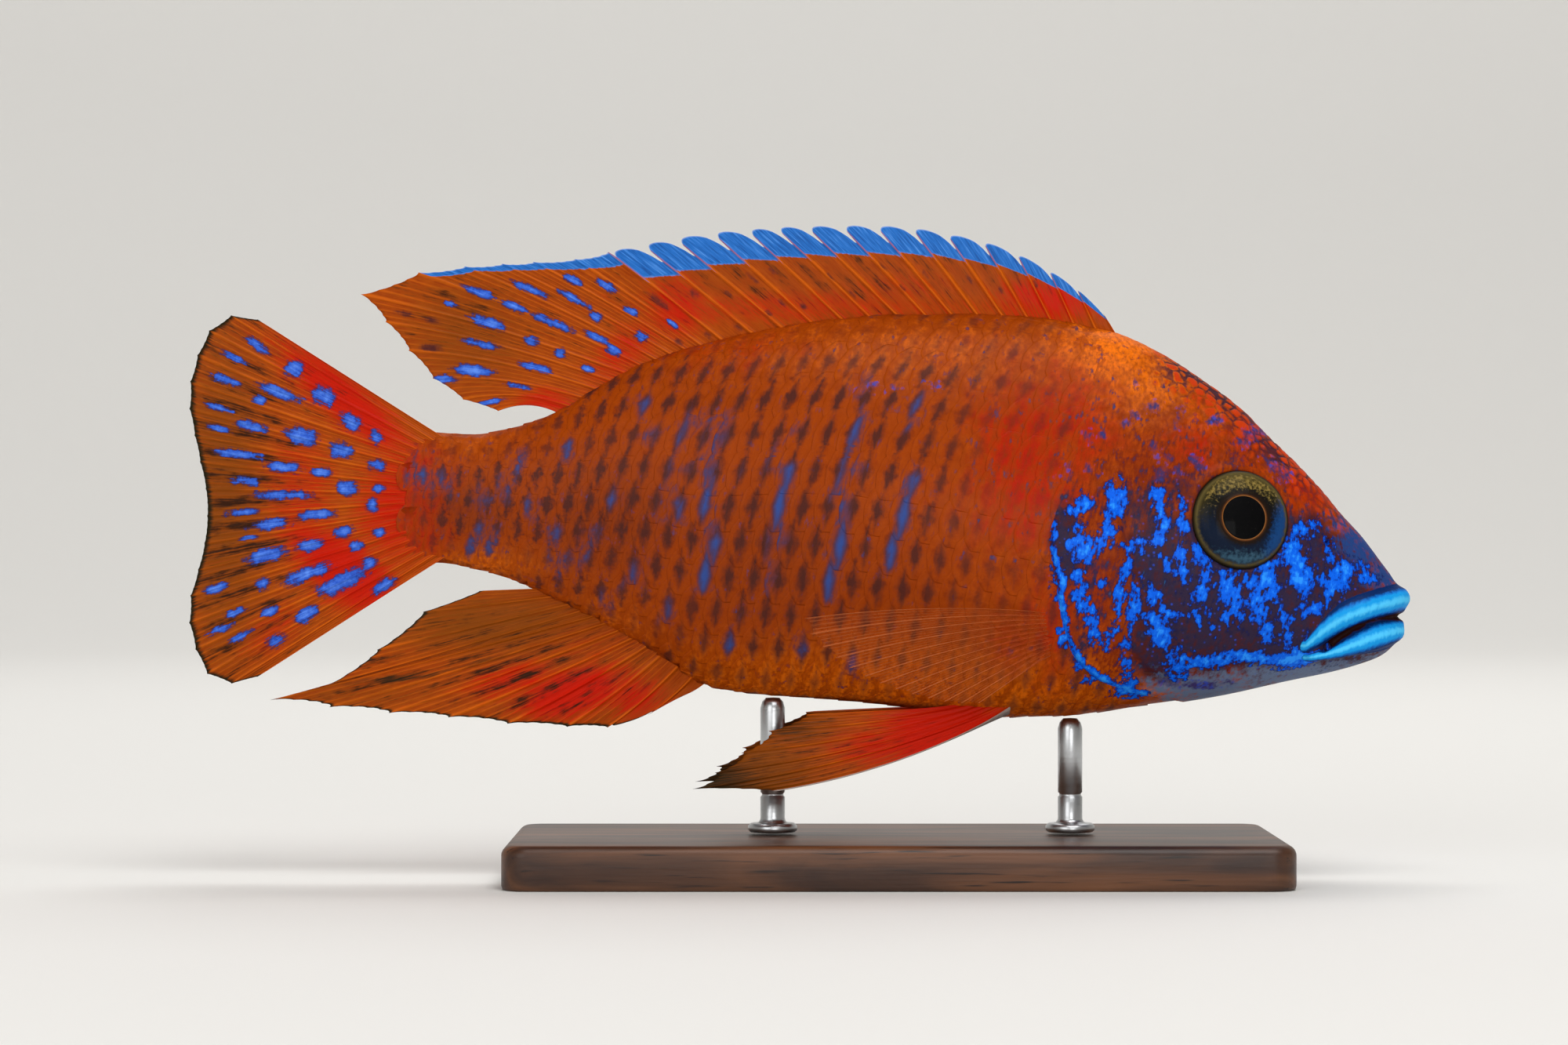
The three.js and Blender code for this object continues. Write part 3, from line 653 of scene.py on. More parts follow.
    violet: tuple = strokes(
        (0.5, 1, 30.9, 29.1, 30.5, 27.7), (0.45, 1, 33, 32.8, 33.2, 31.8), (0.4, 1, 34.7, 32.4, 34.8, 32.4),
        (0.45, 1, 38.3, 34.8, 38.8, 34.9), (0.6, 1, 39.8, 35.7, 40.9, 35.9),
        (0.45, 1, 37.3, 33.8, 37.8, 33.9), (0.45, 1, 43.6, 35.7, 43.1, 33.3),
        (0.65, 1, 42.3, 29.8, 41.3, 27.8), (0.55, 1, 45.1, 29.6, 46, 29.1), (0.5, 1, 46.9, 34, 48.3, 34.2),
        (0.8, 1, 50.8, 31.8, 52.5, 32.8), (0.5, 1, 33.1, 29.1, 33.2, 28.6), (0.35, 1, 34.3, 27.8, 34.3, 26.6),
        (0.45, 1, 38.6, 38.8, 38.6, 38.6), (0.55, 1, 40.6, 31.1, 40.8, 30.3),
        (0.5, 1, 43.2, 28.6, 43.3, 27.8), (0.75, 1, 53.3, 30.1, 55.5, 27.8),
        (0.4, 1, 41.1, 4.2, 43, 3.9, 46.7, 3.9, 49.8, 4.2),
    )
    bars: tuple = strokes(
        (0.9, 0.8, -0.6, 34.2, -0.7, 32.7), (0.9, 0.9, -2.4, 30.7, -2.8, 28.9),
        (1.1, 1, -1.5, 28.5, -2.6, 20), (1, 0.8, -3, 19.2, -3.9, 14.4),
        (1.1, 1, 7.6, 34.5, 6.4, 31.5, 5.5, 27.5, 4.6, 25.7, 4.8, 21.9, 4.3, 18.1, 3.5, 13.7),
        (1.05, 1, 13, 28.3, 11.9, 24.2, 11.5, 21.2, 10.4, 17.3), (0.9, 0.9, 14, 37, 13, 33),
        (0.9, 0.9, 7.7, 39.5, 6.7, 37), (1.1, 1, -8.7, 34.3, -10.7, 28.8, -10.2, 23.9, -9.9, 19.7, -11, 15),
        (1.1, 0.75, -12.2, 34.7, -14.1, 28.8, -15.8, 22.3), (0.9, 0.5, -6, 30, -6.8, 24),
        (0.9, 0.55, -16.5, 20, -18.5, 14.5), (0.8, 0.35, 8.3, 29.5, 7.6, 24.5),
        (0.8, 0.4, -5.5, 17, -6.5, 12),
    )
    lateral_line: tuple = strokes(
        (0.22, 0.8, 3.5, 38, 8.5, 38.1, 14, 38, 17, 38.2), (0.3, 0.9, 19.5, 38.1, 21.5, 38.2),
        (0.25, 0.7, 24, 37.6, 27.5, 37.3),
    )
    blue_power: float = 0.68  # below 1 widens the strokes
    specks: tuple = (
        (-44, 27.9), (-42.4, 27.35), (-40.3, 27), (-33.7, 26.4), (-36.4, 25.1), (-36.1, 21.3), (-37.3, 19.8),
        (-34.9, 19.9), (-28.2, 21), (-23.8, 20.8), (-25.3, 18.2), (-27.7, 17.6), (-19, 16.2), (-13.9, 28.7),
        (-12.9, 33.2), (-11.6, 34.1), (-17.4, 32.5), (-18, 36), (-26.6, 30.5), (-13.3, 23.5), (-21, 25),
        (-30.5, 24), (-32, 29.5), (-22, 13.5), (-15, 12), (-8, 9), (0, 8.5), (6, 6),
    )

    def tone(self, points: ndarray) -> list[ndarray]:
        """Red, gold and violet-brown shade at points of the side view."""
        return [strongest(parts, points) for parts in (self.red, self.gold, self.shade)]

    def head(self, points: ndarray) -> list[ndarray]:
        """The brown of the head and the dark snout at points of the side view."""
        return [strongest(parts, points) for parts in (self.brown, self.snout)]

    def zone(self, points: ndarray) -> list[ndarray]:
        """The forehead's net, the dark cheek and the pale chin at points of the side view."""
        return [strongest(parts, points) for parts in (self.net, self.cheek, self.chin)]

    def strokes_of_blue(self, points: ndarray) -> ndarray:
        """The bright blue of the cheek and gill cover at points of the side view."""
        return strongest(self.blue, points) ** self.blue_power


COLOURS = BodyColours()


# Finishes


class Coat:
    """A material while its layers of colour are laid, one over another."""

    def __init__(self, name: str, ground: str = "#808080") -> None:
        """Makes an empty material.

        Args:
            name: Its name.
            ground: The colour that the first layer is laid over.
        """
        self.made = bpy.data.materials.new(name)
        self.made.use_nodes = True
        self.tree = self.made.node_tree
        self.tree.nodes.clear()
        self.ground: object = colour(ground)

    def node(self, kind: str, *values: object, **settings: object) -> Node:
        """Adds a node to the material, as add_node does."""
        return add_node(self.tree, kind, *values, **settings)

    def stored(self, name: str) -> list[NodeSocket]:
        """The three numbers that a mesh stores under a name."""
        return self.node("SeparateColor", self.node("Attribute", attribute_name=name)).outputs[:]

    def rough(self, place: object, *sizes: float) -> list[Node]:
        """Noise about zero, with features of each size.

        Args:
            place: Where it is read, in metres.
            sizes: The sizes in millimetres.
        Returns:
            A node for each size.
        """
        found = []
        for size in sizes:
            inputs = {"Vector": place, "Scale": 1000 / size, "Detail": 3, "Roughness": 0.55}
            noise = self.node("TexNoise", inputs)
            found.append(self.node("Math.SUBTRACT", noise, 0.5))
        return found

    def over(self, tint: str, share: object, low: float, high: float,
             ragged: object = None, amount: float = 0) -> None:
        """Brushes a colour over the ground where a share is high enough.

        Args:
            tint: The new colour.
            share: How much is meant for each place; of several, their product.
            low: The share at which it starts.
            high: The share at which it covers.
            ragged: Noise that frays its edge.
            amount: How much of that noise.
        """
        if isinstance(share, tuple):
            share = functools.reduce(lambda a, b: self.node("Math.MULTIPLY", a, b), share)
        if ragged is not None:
            share = self.node("Math.MULTIPLY_ADD", ragged, amount, share)
        share = self.node("MapRange", share, low, high, interpolation_type="SMOOTHSTEP")
        self.ground = self.node("Mix", {0: share, 6: self.ground, 7: colour(tint)}, data_type="RGBA")

    def flecks(self, cover: object, ragged: object, amount: float, near: tuple[float, float],
               *layers: tuple) -> None:
        """Lays flecks that noise frays, but sets loose nowhere else.

        Args:
            cover: Where they are meant.
            ragged: The noise.
            amount: How much of it.
            near: The cover at which it starts, and at which it is whole.
            layers: A colour each, and the shares at which it starts and covers.
        """
        close = self.node("MapRange", cover, *near)
        frayed = self.node("Math.MULTIPLY_ADD", ragged, amount, cover)
        frayed = self.node("Math.MULTIPLY", frayed, close)
        for tint, low, high in layers:
            self.over(tint, frayed, low, high)

    def done(self, inputs: dict) -> Material:
        """Ends the material in a shader with these inputs and returns it."""
        self.node("OutputMaterial", self.node("BsdfPrincipled", {"Base Color": self.ground} | inputs))
        return self.made

    def varnished(self, height: object, strength: float = 0.3, others: dict | None = None) -> Material:
        """Ends the material in paint under a clear varnish.

        Args:
            height: The relief too fine for the mesh.
            strength: How much of that relief shows.
            others: Other inputs of the shader.
        Returns:
            The material.
        """
        bump = self.node("Bump", {"Height": height, "Strength": strength, "Distance": 0.0002})
        paint = {"Normal": bump, "Roughness": 0.5, "Specular IOR Level": 0.02}
        return self.done(paint | {"Coat Weight": 0.06, "Coat Roughness": 0.26} | (others or {}))


@dataclass(frozen=True)
class FishSkin:
    """Resin painted in soft layers of pigment, then varnished: matt colour under a thin wet shine."""

    name: str = "varnished_skin"
    orange: str = "#B04806"
    orange_deep: str = "#853004"
    red: str = "#B21A02"
    gold: str = "#F07408"
    shade: str = "#4E2118"
    brown: str = "#762406"
    mottle: str = "#3C2440"
    cheek: str = "#30253C"
    russet: str = "#4A1F20"
    chin: str = "#62708C"
    snout: str = "#24407C"
    halo: str = "#1C1A40"
    blue_deep: str = "#0A3CB0"
    blue: str = "#0A60E6"
    blue_light: str = "#2C94FF"
    dust: str = "#2C4CC0"
    violet: str = "#3C3060"
    star: str = "#3244A8"
    plate: str = "#C0380C"
    plate_gap: str = "#361C2C"
    # Painted shade, dark red-brown, in the groove of the mouth's slit between the lips.
    slit: str = "#2A0E0A"
    # The lips' blue is painted darker at the top and bottom of each roll, as painted shade, and brightens in
    # bands to a pale cyan painted highlight along the crest.
    lip_edge_painted_shade: str = "#08285E"
    lip_bands_to_painted_highlight: tuple = (("#0E6AC4", -0.1, 0.3), ("#1898E2", 0.1, 0.5), ("#50C4F8", 0.45, 1))
    lean: float = 0.22  # of the hair strokes, in radians

    def broad(self, coat: Coat) -> tuple:
        """Lays the broad colours that skin and scales share.

        Args:
            coat: The material.
        Returns:
            The place, the four kinds of noise, and the stored zones.
        """
        node = coat.node
        place = node("TexCoord").outputs["Object"]
        # Blotches of 3.5 mm, tufts of 1.2 mm, and the 0.4 mm spikes that clusters of pigment cells leave.
        blotch, tuft, spike = coat.rough(place, 3.5, 1.2, 0.4)
        # Hair strokes 0.4 mm wide and three times as long, their tops leaning towards the head.
        lying = node("Mapping", {0: place, 2: (0, self.lean, 0), 3: (1, 1, 3.2)}, vector_type="TEXTURE")
        (hair,) = coat.rough(lying, 0.42)
        red, gold, shade = coat.stored("tone")
        _, cheek, chin = zone = coat.stored("zone")
        brown, snout, _ = coat.stored("head")
        frayed = node("Math.MULTIPLY_ADD", hair, 0.8, tuft)
        mottled = node("Math.MULTIPLY_ADD", blotch, 2, brown)
        light = node("Math.MULTIPLY_ADD", tuft, 3, 0.5)
        coat.ground = node(
            "Mix", {0: light, 6: colour(self.orange_deep), 7: colour(self.orange)}, data_type="RGBA"
        )
        for layer in (
            (self.gold, gold, 0.1, 1, tuft, 0.7),
            (self.red, red, 0.15, 0.9, blotch, 0.8),
            (self.shade, shade, 0.15, 1.15, tuft, 1.1),
            (self.orange_deep, 0.35, 0, 1, hair, 1.6),
            (self.brown, brown, 0.15, 0.95, frayed, 2),
            (self.mottle, (mottled, brown), 0.45, 1.2, frayed, 2.4),
            (self.russet, cheek, 0.1, 0.55, blotch, 0.9),
            (self.cheek, cheek, 0.15, 0.8, frayed, 1.7),
            (self.chin, chin, 0.25, 0.9, frayed, 1.3),
            (self.snout, snout, 0.25, 0.95, frayed, 1.7),
        ):
            coat.over(*layer)
        return place, (blotch, tuft, spike, hair), zone

    def marks(self, coat: Coat, place: object, noise: tuple, dusty: object) -> None:
        """Lays the violet flecks and the bright blue strokes over the broad colours.

        Args:
            coat: The material.
            place: The object's coordinates.
            noise: The four kinds of noise.
            dusty: Where fine blue dust lies as well.
        """
        node = coat.node
        blotch, tuft, spike, hair = noise
        blue, violet, _ = coat.stored("mark")
        frayed = tuft
        for rough, amount in ((hair, 0.75), (blotch, 0.7), (spike, 0.4)):
            frayed = node("Math.MULTIPLY_ADD", rough, amount, frayed)
        # Dust: dots of 0.2 mm, half of the cells of a 0.6 mm lattice left empty.
        cells = node("TexVoronoi", {"Vector": place, "Scale": 1600}, feature="F1")
        kept = node("SeparateColor", cells.outputs["Color"])
        kept = node("Math.GREATER_THAN", kept, 0.5)
        dot = node("MapRange", cells.outputs["Distance"], 0.36, 0.1)
        spread = node("Math.MAXIMUM", dusty, blue)
        coat.over(self.dust, (dot, kept, spread), 0.05, 1, hair, 0.3)
        coat.flecks(violet, frayed, 2.6, (0.02, 0.3), (self.violet, 0.3, 1.5))
        # Small stars of 0.7 mm in the violet flecks.
        stars = node("TexVoronoi", {"Vector": place, "Scale": 1050}, feature="F1")
        star = node("Math.MULTIPLY_ADD", hair, 2.2, stars.outputs["Distance"])
        star = node("MapRange", star, 0.45, 0)
        star = node("Math.MULTIPLY_ADD", frayed, 1.6, star)
        coat.over(self.star, (star, node("MapRange", violet, 0.02, 0.3)), 0.2, 1.3)
        haze = node("Math.MULTIPLY", dusty, 0.22)
        wide = node("Math.MAXIMUM", blue, haze)
        blues = (self.halo, 0.15, 0.6), (self.blue_deep, 0.45, 0.78), (self.blue, 0.62, 0.98)
        coat.flecks(wide, frayed, 3.1, (0.05, 0.25), *blues, (self.blue_light, 1.05, 1.9))

    def material(self) -> Material:
        """Makes the finish of the bare skin of the head."""
        coat = Coat(self.name)
        place, noise, (forehead, cheek, _) = self.broad(coat)
        blotch, tuft, spike, hair = noise
        # Small orange-red plates on the forehead, parted by gaps that widen and close.
        gap = coat.stored("head")[2]
        gap = coat.node("Math.MULTIPLY_ADD", tuft, 0.5, gap)
        gap = coat.node("Math.MULTIPLY_ADD", blotch, 0.8, gap)
        plate = coat.node("MapRange", gap, 0.1, 0.4)
        gap = coat.node("MapRange", gap, 0.26, 0.02)
        coat.over(self.plate, (plate, forehead), 0.1, 0.9, tuft, 0.6)
        coat.over(self.plate_gap, (gap, forehead), 0.15, 1.15, tuft, 0.7)
        self.marks(coat, place, noise, cheek)
        lip, crest, slit = coat.stored("lip")
        # Painted shade along the mouth's groove, between the lips.
        coat.over(self.slit, slit, 0.2, 0.7)
        # Painted shade at the edges of each lip's roll, then bands that brighten towards its crest, the last
        # a painted highlight.
        coat.over(self.lip_edge_painted_shade, lip, 0.25, 0.6, tuft, 0.5)
        for tint, low, high in self.lip_bands_to_painted_highlight:
            coat.over(tint, (lip, coat.node("MapRange", crest, low, high)), 0.2, 0.9, hair, 1.1)
        return coat.varnished(spike)


@dataclass(frozen=True)
class ScaleSkin(FishSkin):
    """The same paint on the scales, with leaning dark and blue lozenges between an orange net."""

    name: str = "varnished_scales"
    net: str = "#983C04"
    spot: str = "#4A241E"
    spot_blue: str = "#334A8C"
    spot_violet: str = "#4C3246"
    middle: float = 0.42  # of a column behind each scale's place
    narrow: float = 2.7
    tall: float = 1.35

    def lozenges(self, coat: Coat) -> object:
        """How far each place is from the nearest lozenge's middle; its points are about 0.75 away."""
        node = coat.node
        column, row, lean = coat.stored("cell")
        found = []
        for odd in (0, 1):
            up = node("Math.ADD", row, odd)
            up = node("Math.WRAP", up, 1, -1)
            along = node("Math.MULTIPLY_ADD", up, lean, column)
            along = node("Math.ADD", along, 0.5 * odd - self.middle)
            along = node("Math.PINGPONG", along, 0.5)
            up = node("Math.ABSOLUTE", up)
            up = node("Math.MULTIPLY", up, self.tall)
            found.append(node("Math.MULTIPLY_ADD", along, self.narrow, up))
        return node("Math.MINIMUM", *found)

    def material(self) -> Material:
        """Makes the finish of the scales."""
        coat = Coat(self.name)
        node = coat.node
        place, noise, zone = self.broad(coat)
        _, tuft, spike, hair = noise
        dark, blue, net = coat.stored("spot")
        frayed = node("Math.MULTIPLY_ADD", tuft, 0.6, hair)
        away = node("Math.MULTIPLY_ADD", frayed, 1.3, self.lozenges(coat))
        # Towards the tail the lozenges lose their shape.
        loose = node("Math.MULTIPLY_ADD", spike, 1.2, tuft)
        astern = node("Math.MULTIPLY", coat.stored("mark")[2], 1.3)
        away = node("Math.MULTIPLY_ADD", loose, astern, away)
        between = node("MapRange", away, 0.55, 1.25)
        lozenge = node("MapRange", away, 1.1, 0.25)
        streak = node("Math.MULTIPLY_ADD", lozenge, 0.5, 0.5)
        coat.over(self.net, (between, net), 0, 1.3)
        coat.over(self.spot, (lozenge, dark), 0, 1.05)
        coat.over(self.spot_violet, (streak, blue), 0.15, 0.6, frayed, 0.6)
        coat.over(self.spot_blue, (streak, blue), 0.35, 0.95, frayed, 0.8)
        self.marks(coat, place, noise, zone[1])
        return coat.varnished(spike)


@dataclass(frozen=True)
class FinSkin:
    """Cast resin fins: thin tinted film drawn out along fine rays, varnished."""

    name: str = "varnished_fin"
    film: str = "#8C3404"
    ray: str = "#C45A0C"
    brown: str = "#7E3E08"
    red: str = "#BC1802"
    dark: str = "#341A0A"
    edge: str = "#262010"
    flag: str = "#266CC0"
    flag_shade: str = "#1C4C94"
    flag_light: str = "#5A96E0"
    pale: str = "#8FAAE0"
    halo: str = "#30203C"
    spot: str = "#2A56C4"
    spot_light: str = "#6090EE"
    spot_dark: str = "#4E2220"
    white: str = "#9A8C84"
    clear: float = 1  # how opaque the film between the rays is

    def material(self) -> Material:
        """Makes the finish of a fin."""
        coat = Coat(self.name, self.film)
        node = coat.node
        place = node("TexCoord").outputs["Object"]
        tuft, spike = coat.rough(place, 1.2, 0.4)
        where, run, rim = coat.stored("ray")
        red, smoky, tipped = coat.stored("tone")
        spots, dark_spots, streaked = coat.stored("mark")
        brown, white, stiff = coat.stored("wash")
        # Fibres of the film: a dozen to each gap between rays, each some 4 mm long.
        across = node("Math.MULTIPLY", where, 13)
        along = node("Math.MULTIPLY", run, 0.25)
        fibre = node("CombineXYZ", across, along)
        fibre = node("TexNoise", {"Vector": fibre, "Scale": 1, "Detail": 4, "Roughness": 0.6})
        fibre = node("Math.SUBTRACT", fibre, 0.5)
        # Dashes about 1.2 mm wide and 2 mm long, where the streaks gather.
        across = node("Math.MULTIPLY", where, 3)
        along = node("Math.MULTIPLY", run, 0.45)
        (dash,) = coat.rough(node("CombineXYZ", across, along), 1000)
        between = node("Math.PINGPONG", where, 0.5)
        branch = node("Math.PINGPONG", where, 0.125)
        line = node("MapRange", between, 0.1, 0.02)
        soft = node("MapRange", {0: stiff, 3: 0.6, 4: 0})
        twig = node("MapRange", branch, 0.05, 0, 0, soft)
        line = node("Math.MAXIMUM", line, twig)
        share = node("Math.MULTIPLY_ADD", fibre, 1.7, line)
        share = node("Math.MULTIPLY_ADD", dash, 1, share)
        gap = node("MapRange", between, 0.12, 0.42)
        streak = node("Math.MULTIPLY_ADD", dash, 0.8, fibre)
        coat.over(self.ray, share, -0.5, 1)
        coat.over(self.brown, brown, 0.2, 1, fibre, 1.2)
        coat.over(self.red, red, 0.2, 0.85, fibre, 1.5)
        coat.over(self.dark, (gap, streaked), 0.25, 1, streak, 2)
        coat.over(self.edge, smoky, 0.25, 0.9, fibre, 1.3)
        frayed = node("Math.MULTIPLY_ADD", spike, 0.5, tuft)
        frayed = node("Math.MULTIPLY_ADD", fibre, 0.9, frayed)
        coat.flecks(dark_spots, frayed, 1.3, (0.03, 0.2), (self.spot_dark, 0.3, 1.3))
        blues = (self.halo, 0.2, 0.6), (self.spot, 0.42, 0.75), (self.spot_light, 0.6, 1.5)
        coat.flecks(spots, frayed, 1.3, (0.03, 0.2), *blues)
        lilac = node("MapRange", tipped, 0.97, 0.45)
        lip = node("MapRange", rim, 0.28, 0.05)
        spine = node("MapRange", between, 0.05, 0.025)
        coat.over(self.flag, tipped, 0.3, 0.6, fibre, 0.9)
        coat.over(self.flag_shade, (tipped, 0.5), 0.4, 0.9, fibre, 1.8)
        coat.over(self.flag_light, (tipped, 0.5), 0.5, 1, fibre, -1.8)
        coat.over(self.pale, (lilac, tipped), 0.25, 1.1, fibre, 1.2)
        coat.over(self.pale, (lip, tipped), 0.3, 1.2)
        coat.over(self.ray, (spine, stiff), 0.3, 1.7)
        coat.over(self.white, white, 0.4, 0.8, fibre, 0.8)
        if self.clear == 1:
            return coat.varnished(line)
        shown = node("Math.MULTIPLY_ADD", fibre, 0.8, line)
        return coat.varnished(line, others={"Alpha": node("MapRange", shown, 0, 0.9, self.clear, 0.55)})


@dataclass(frozen=True)
class GlassEye:
    """A taxidermist's glass eye: painted iris under clear glass."""

    name: str = "glass_eye"
    rings: tuple = (
        (0, "#010102"), (0.437, "#010102"), (0.445, "#9A6430"), (0.456, "#5E3416"), (0.49, "#20130A"),
        (0.6, "#100E0C"), (0.72, "#17170F"), (0.86, "#302A14"), (0.93, "#5A4E28"), (0.975, "#2A2214"),
        (1, "#120E08"),
    )
    navy: str = "#0C182C"
    olive: str = "#4E421C"
    front: str = "#123E74"
    # A painted highlight, grey-blue, low in the iris.
    low: str = "#35566A"
    gilt: str = "#8A743A"

    def material(self) -> Material:
        """Makes the finish of an eye."""
        coat = Coat(self.name)
        node = coat.node
        forward, up, radius = coat.stored("iris")
        ramp = coat.ground = node("ValToRGB", radius)
        while len(ramp.color_ramp.elements) < len(self.rings):
            ramp.color_ramp.elements.new(0.5)
        for element, (at, tint) in zip(ramp.color_ramp.elements, self.rings):
            element.position = at
            element.color = colour(tint)
        inner = node("MapRange", radius, 0.5, 0.62)
        outer = node("MapRange", radius, 0.98, 0.86)
        band = node("Math.MULTIPLY", inner, outer)
        turn = node("Math.ARCTAN2", up, forward)
        turn = node("Math.MULTIPLY", turn, 11)
        out = node("Math.MULTIPLY", radius, 14)
        (fleck,) = coat.rough(node("CombineXYZ", turn, out), 1000)
        front = node("Math.MULTIPLY_ADD", up, -0.35, forward)
        # Navy behind and below, olive-gold above, a bright blue arc in front, gilt flecks all over.
        for tint, place, start, end, low, high, amount in (
            (self.navy, up, 0.45, -0.3, 0.1, 0.95, 1.1),
            (self.olive, up, 0.3, 0.85, 0.15, 1, 1.5),
            (self.front, front, 0.45, 0.85, 0.2, 0.95, 1.2),
            # A painted highlight: grey-blue, low in the iris.
            (self.low, up, -0.45, -0.8, 0.35, 1.3, 1.7),
            (self.gilt, up, -0.5, 0.6, 0.75, 1.5, 2.6),
        ):
            coat.over(tint, (node("MapRange", place, start, end), band), low, high, fleck, amount)
        glass = {"Roughness": 0.5, "Specular IOR Level": 0.05}
        return coat.done(glass | {"Coat Weight": 0.09, "Coat IOR": 1.3, "Coat Roughness": 0.06})


@dataclass(frozen=True)
class Walnut:
    """Oiled walnut: straight brown grain along the base with fine open pores."""

    name: str = "oiled_walnut"
    dark: str = "#2C170D"
    light: str = "#6B4226"
    pore: str = "#1C0E07"

    def material(self) -> Material:
        """Makes the finish of the stand's base."""
        coat = Coat(self.name, self.dark)
        place = coat.node("TexCoord").outputs["Object"]
        # The growth rings are stretched along X, 3 to 5 mm apart across the board.
        along = coat.node("Mapping", {0: place, 3: (0.12, 1, 1)})
        wood = coat.node("TexNoise", {"Vector": along, "Scale": 260, "Detail": 6, "Distortion": 0.6})
        pores = coat.node("Mapping", {0: place, 3: (0.05, 1, 1)})
        pores = coat.node("TexNoise", {"Vector": pores, "Scale": 2200, "Detail": 2})
        coat.over(self.light, wood, 0.32, 0.7)
        coat.over(self.pore, pores, 0.6, 0.75)
        return coat.varnished(pores, 0.15, {"Roughness": 0.42, "Specular IOR Level": 0.4})


@dataclass(frozen=True)
class TurnedSteel:
    """Turned stainless steel: grey, with fine rings from the lathe."""

    name: str = "turned_steel"
    grey: str = "#B9BBBD"

    def material(self) -> Material:
        """Makes the finish of the rods."""
        coat = Coat(self.name, self.grey)
        # Turning marks are real at 0.05 mm and are drawn at 0.3 mm so that they show.
        rings = coat.node("Mapping", {0: coat.node("TexCoord").outputs["Object"], 3: (0.02, 0.02, 1)})
        rings = coat.node("TexNoise", {"Vector": rings, "Scale": 3500, "Detail": 2})
        rough = coat.node("MapRange", {0: rings, 3: 0.22, 4: 0.4})
        bump = coat.node("Bump", {"Height": rings, "Strength": 0.1, "Distance": 0.0001})
        return coat.done({"Metallic": 1, "Roughness": rough, "Normal": bump})


@dataclass(frozen=True)
class StudioPaper:
    """Matt seamless paper, a pale warm grey."""

    name: str = "studio_paper"
    grey: str = "#E4E2DE"

    def material(self) -> Material:
        """Makes the finish of the floor and backdrop."""
        return Coat(self.name, self.grey).done({"Roughness": 0.9})


# The skin


@dataclass(frozen=True)
class Lip:
    """A rolled lip that bends round the front of the mouth."""

    front: float
    corner: float
    half_width: float
    depth: float
    middle: Line  # of the roll, by place along the head
    height: Line  # half the roll's height, by place along the head

    def centre(self, turn: ndarray) -> ndarray:
        """The middle of the roll at turns from one corner to the other."""
        x = self.corner + (self.front - self.depth - self.corner) * np.cos(turn)
        return np.stack([x, self.half_width * np.sin(turn), self.middle(x)], axis=-1)

    def swell(self, ahead: ndarray) -> ndarray:
        """How far the roll stands out of the mouth's outline, from 0 at a corner to 1 in front."""
        return self.depth * (0.42 + 0.58 * np.sqrt(np.maximum(ahead, 0)))

    def roll(self) -> tuple[ndarray, list]:
        """The lip's points and faces."""
        turns = np.linspace(-math.pi / 2, math.pi / 2, 61)
        around = whole_turn(20)[:, None]
        middle = self.centre(turns)
        length = self.front - self.depth - self.corner
        outward = np.stack([self.half_width * np.cos(turns), length * np.sin(turns), 0 * turns], axis=1)
        outward *= (self.swell(np.cos(turns)) / np.linalg.norm(outward, axis=1))[:, None]
        upward = self.height(middle[:, 0])[:, None] * (0, 0, 1)
        rings = middle[:, None] + outward[:, None] * np.cos(around) + upward[:, None] * np.sin(around)
        return rings.reshape(-1, 3), tube_faces(len(turns), len(around))

    def at(self, points: ndarray) -> tuple[ndarray, ndarray]:
        """How much each point belongs to the lip, and how far up the roll it lies, from -1 to 1.

        Args:
            points: The points.
        Returns:
            The two shares.
        """
        path = self.centre(np.linspace(-math.pi / 2, math.pi / 2, 50))
        away = distance_to(path * (1, 1, 0), points * (1, 1, 0), 3)
        x = points[:, 0]
        share = np.clip((x - self.corner) / (self.front - self.depth - self.corner), 0, 1)
        up = (points[:, 2] - self.middle(x)) / self.height(x)
        off = np.hypot(np.minimum(away, 9) / self.swell(share), up)
        return smooth_step(1.5, 1.1, off), up


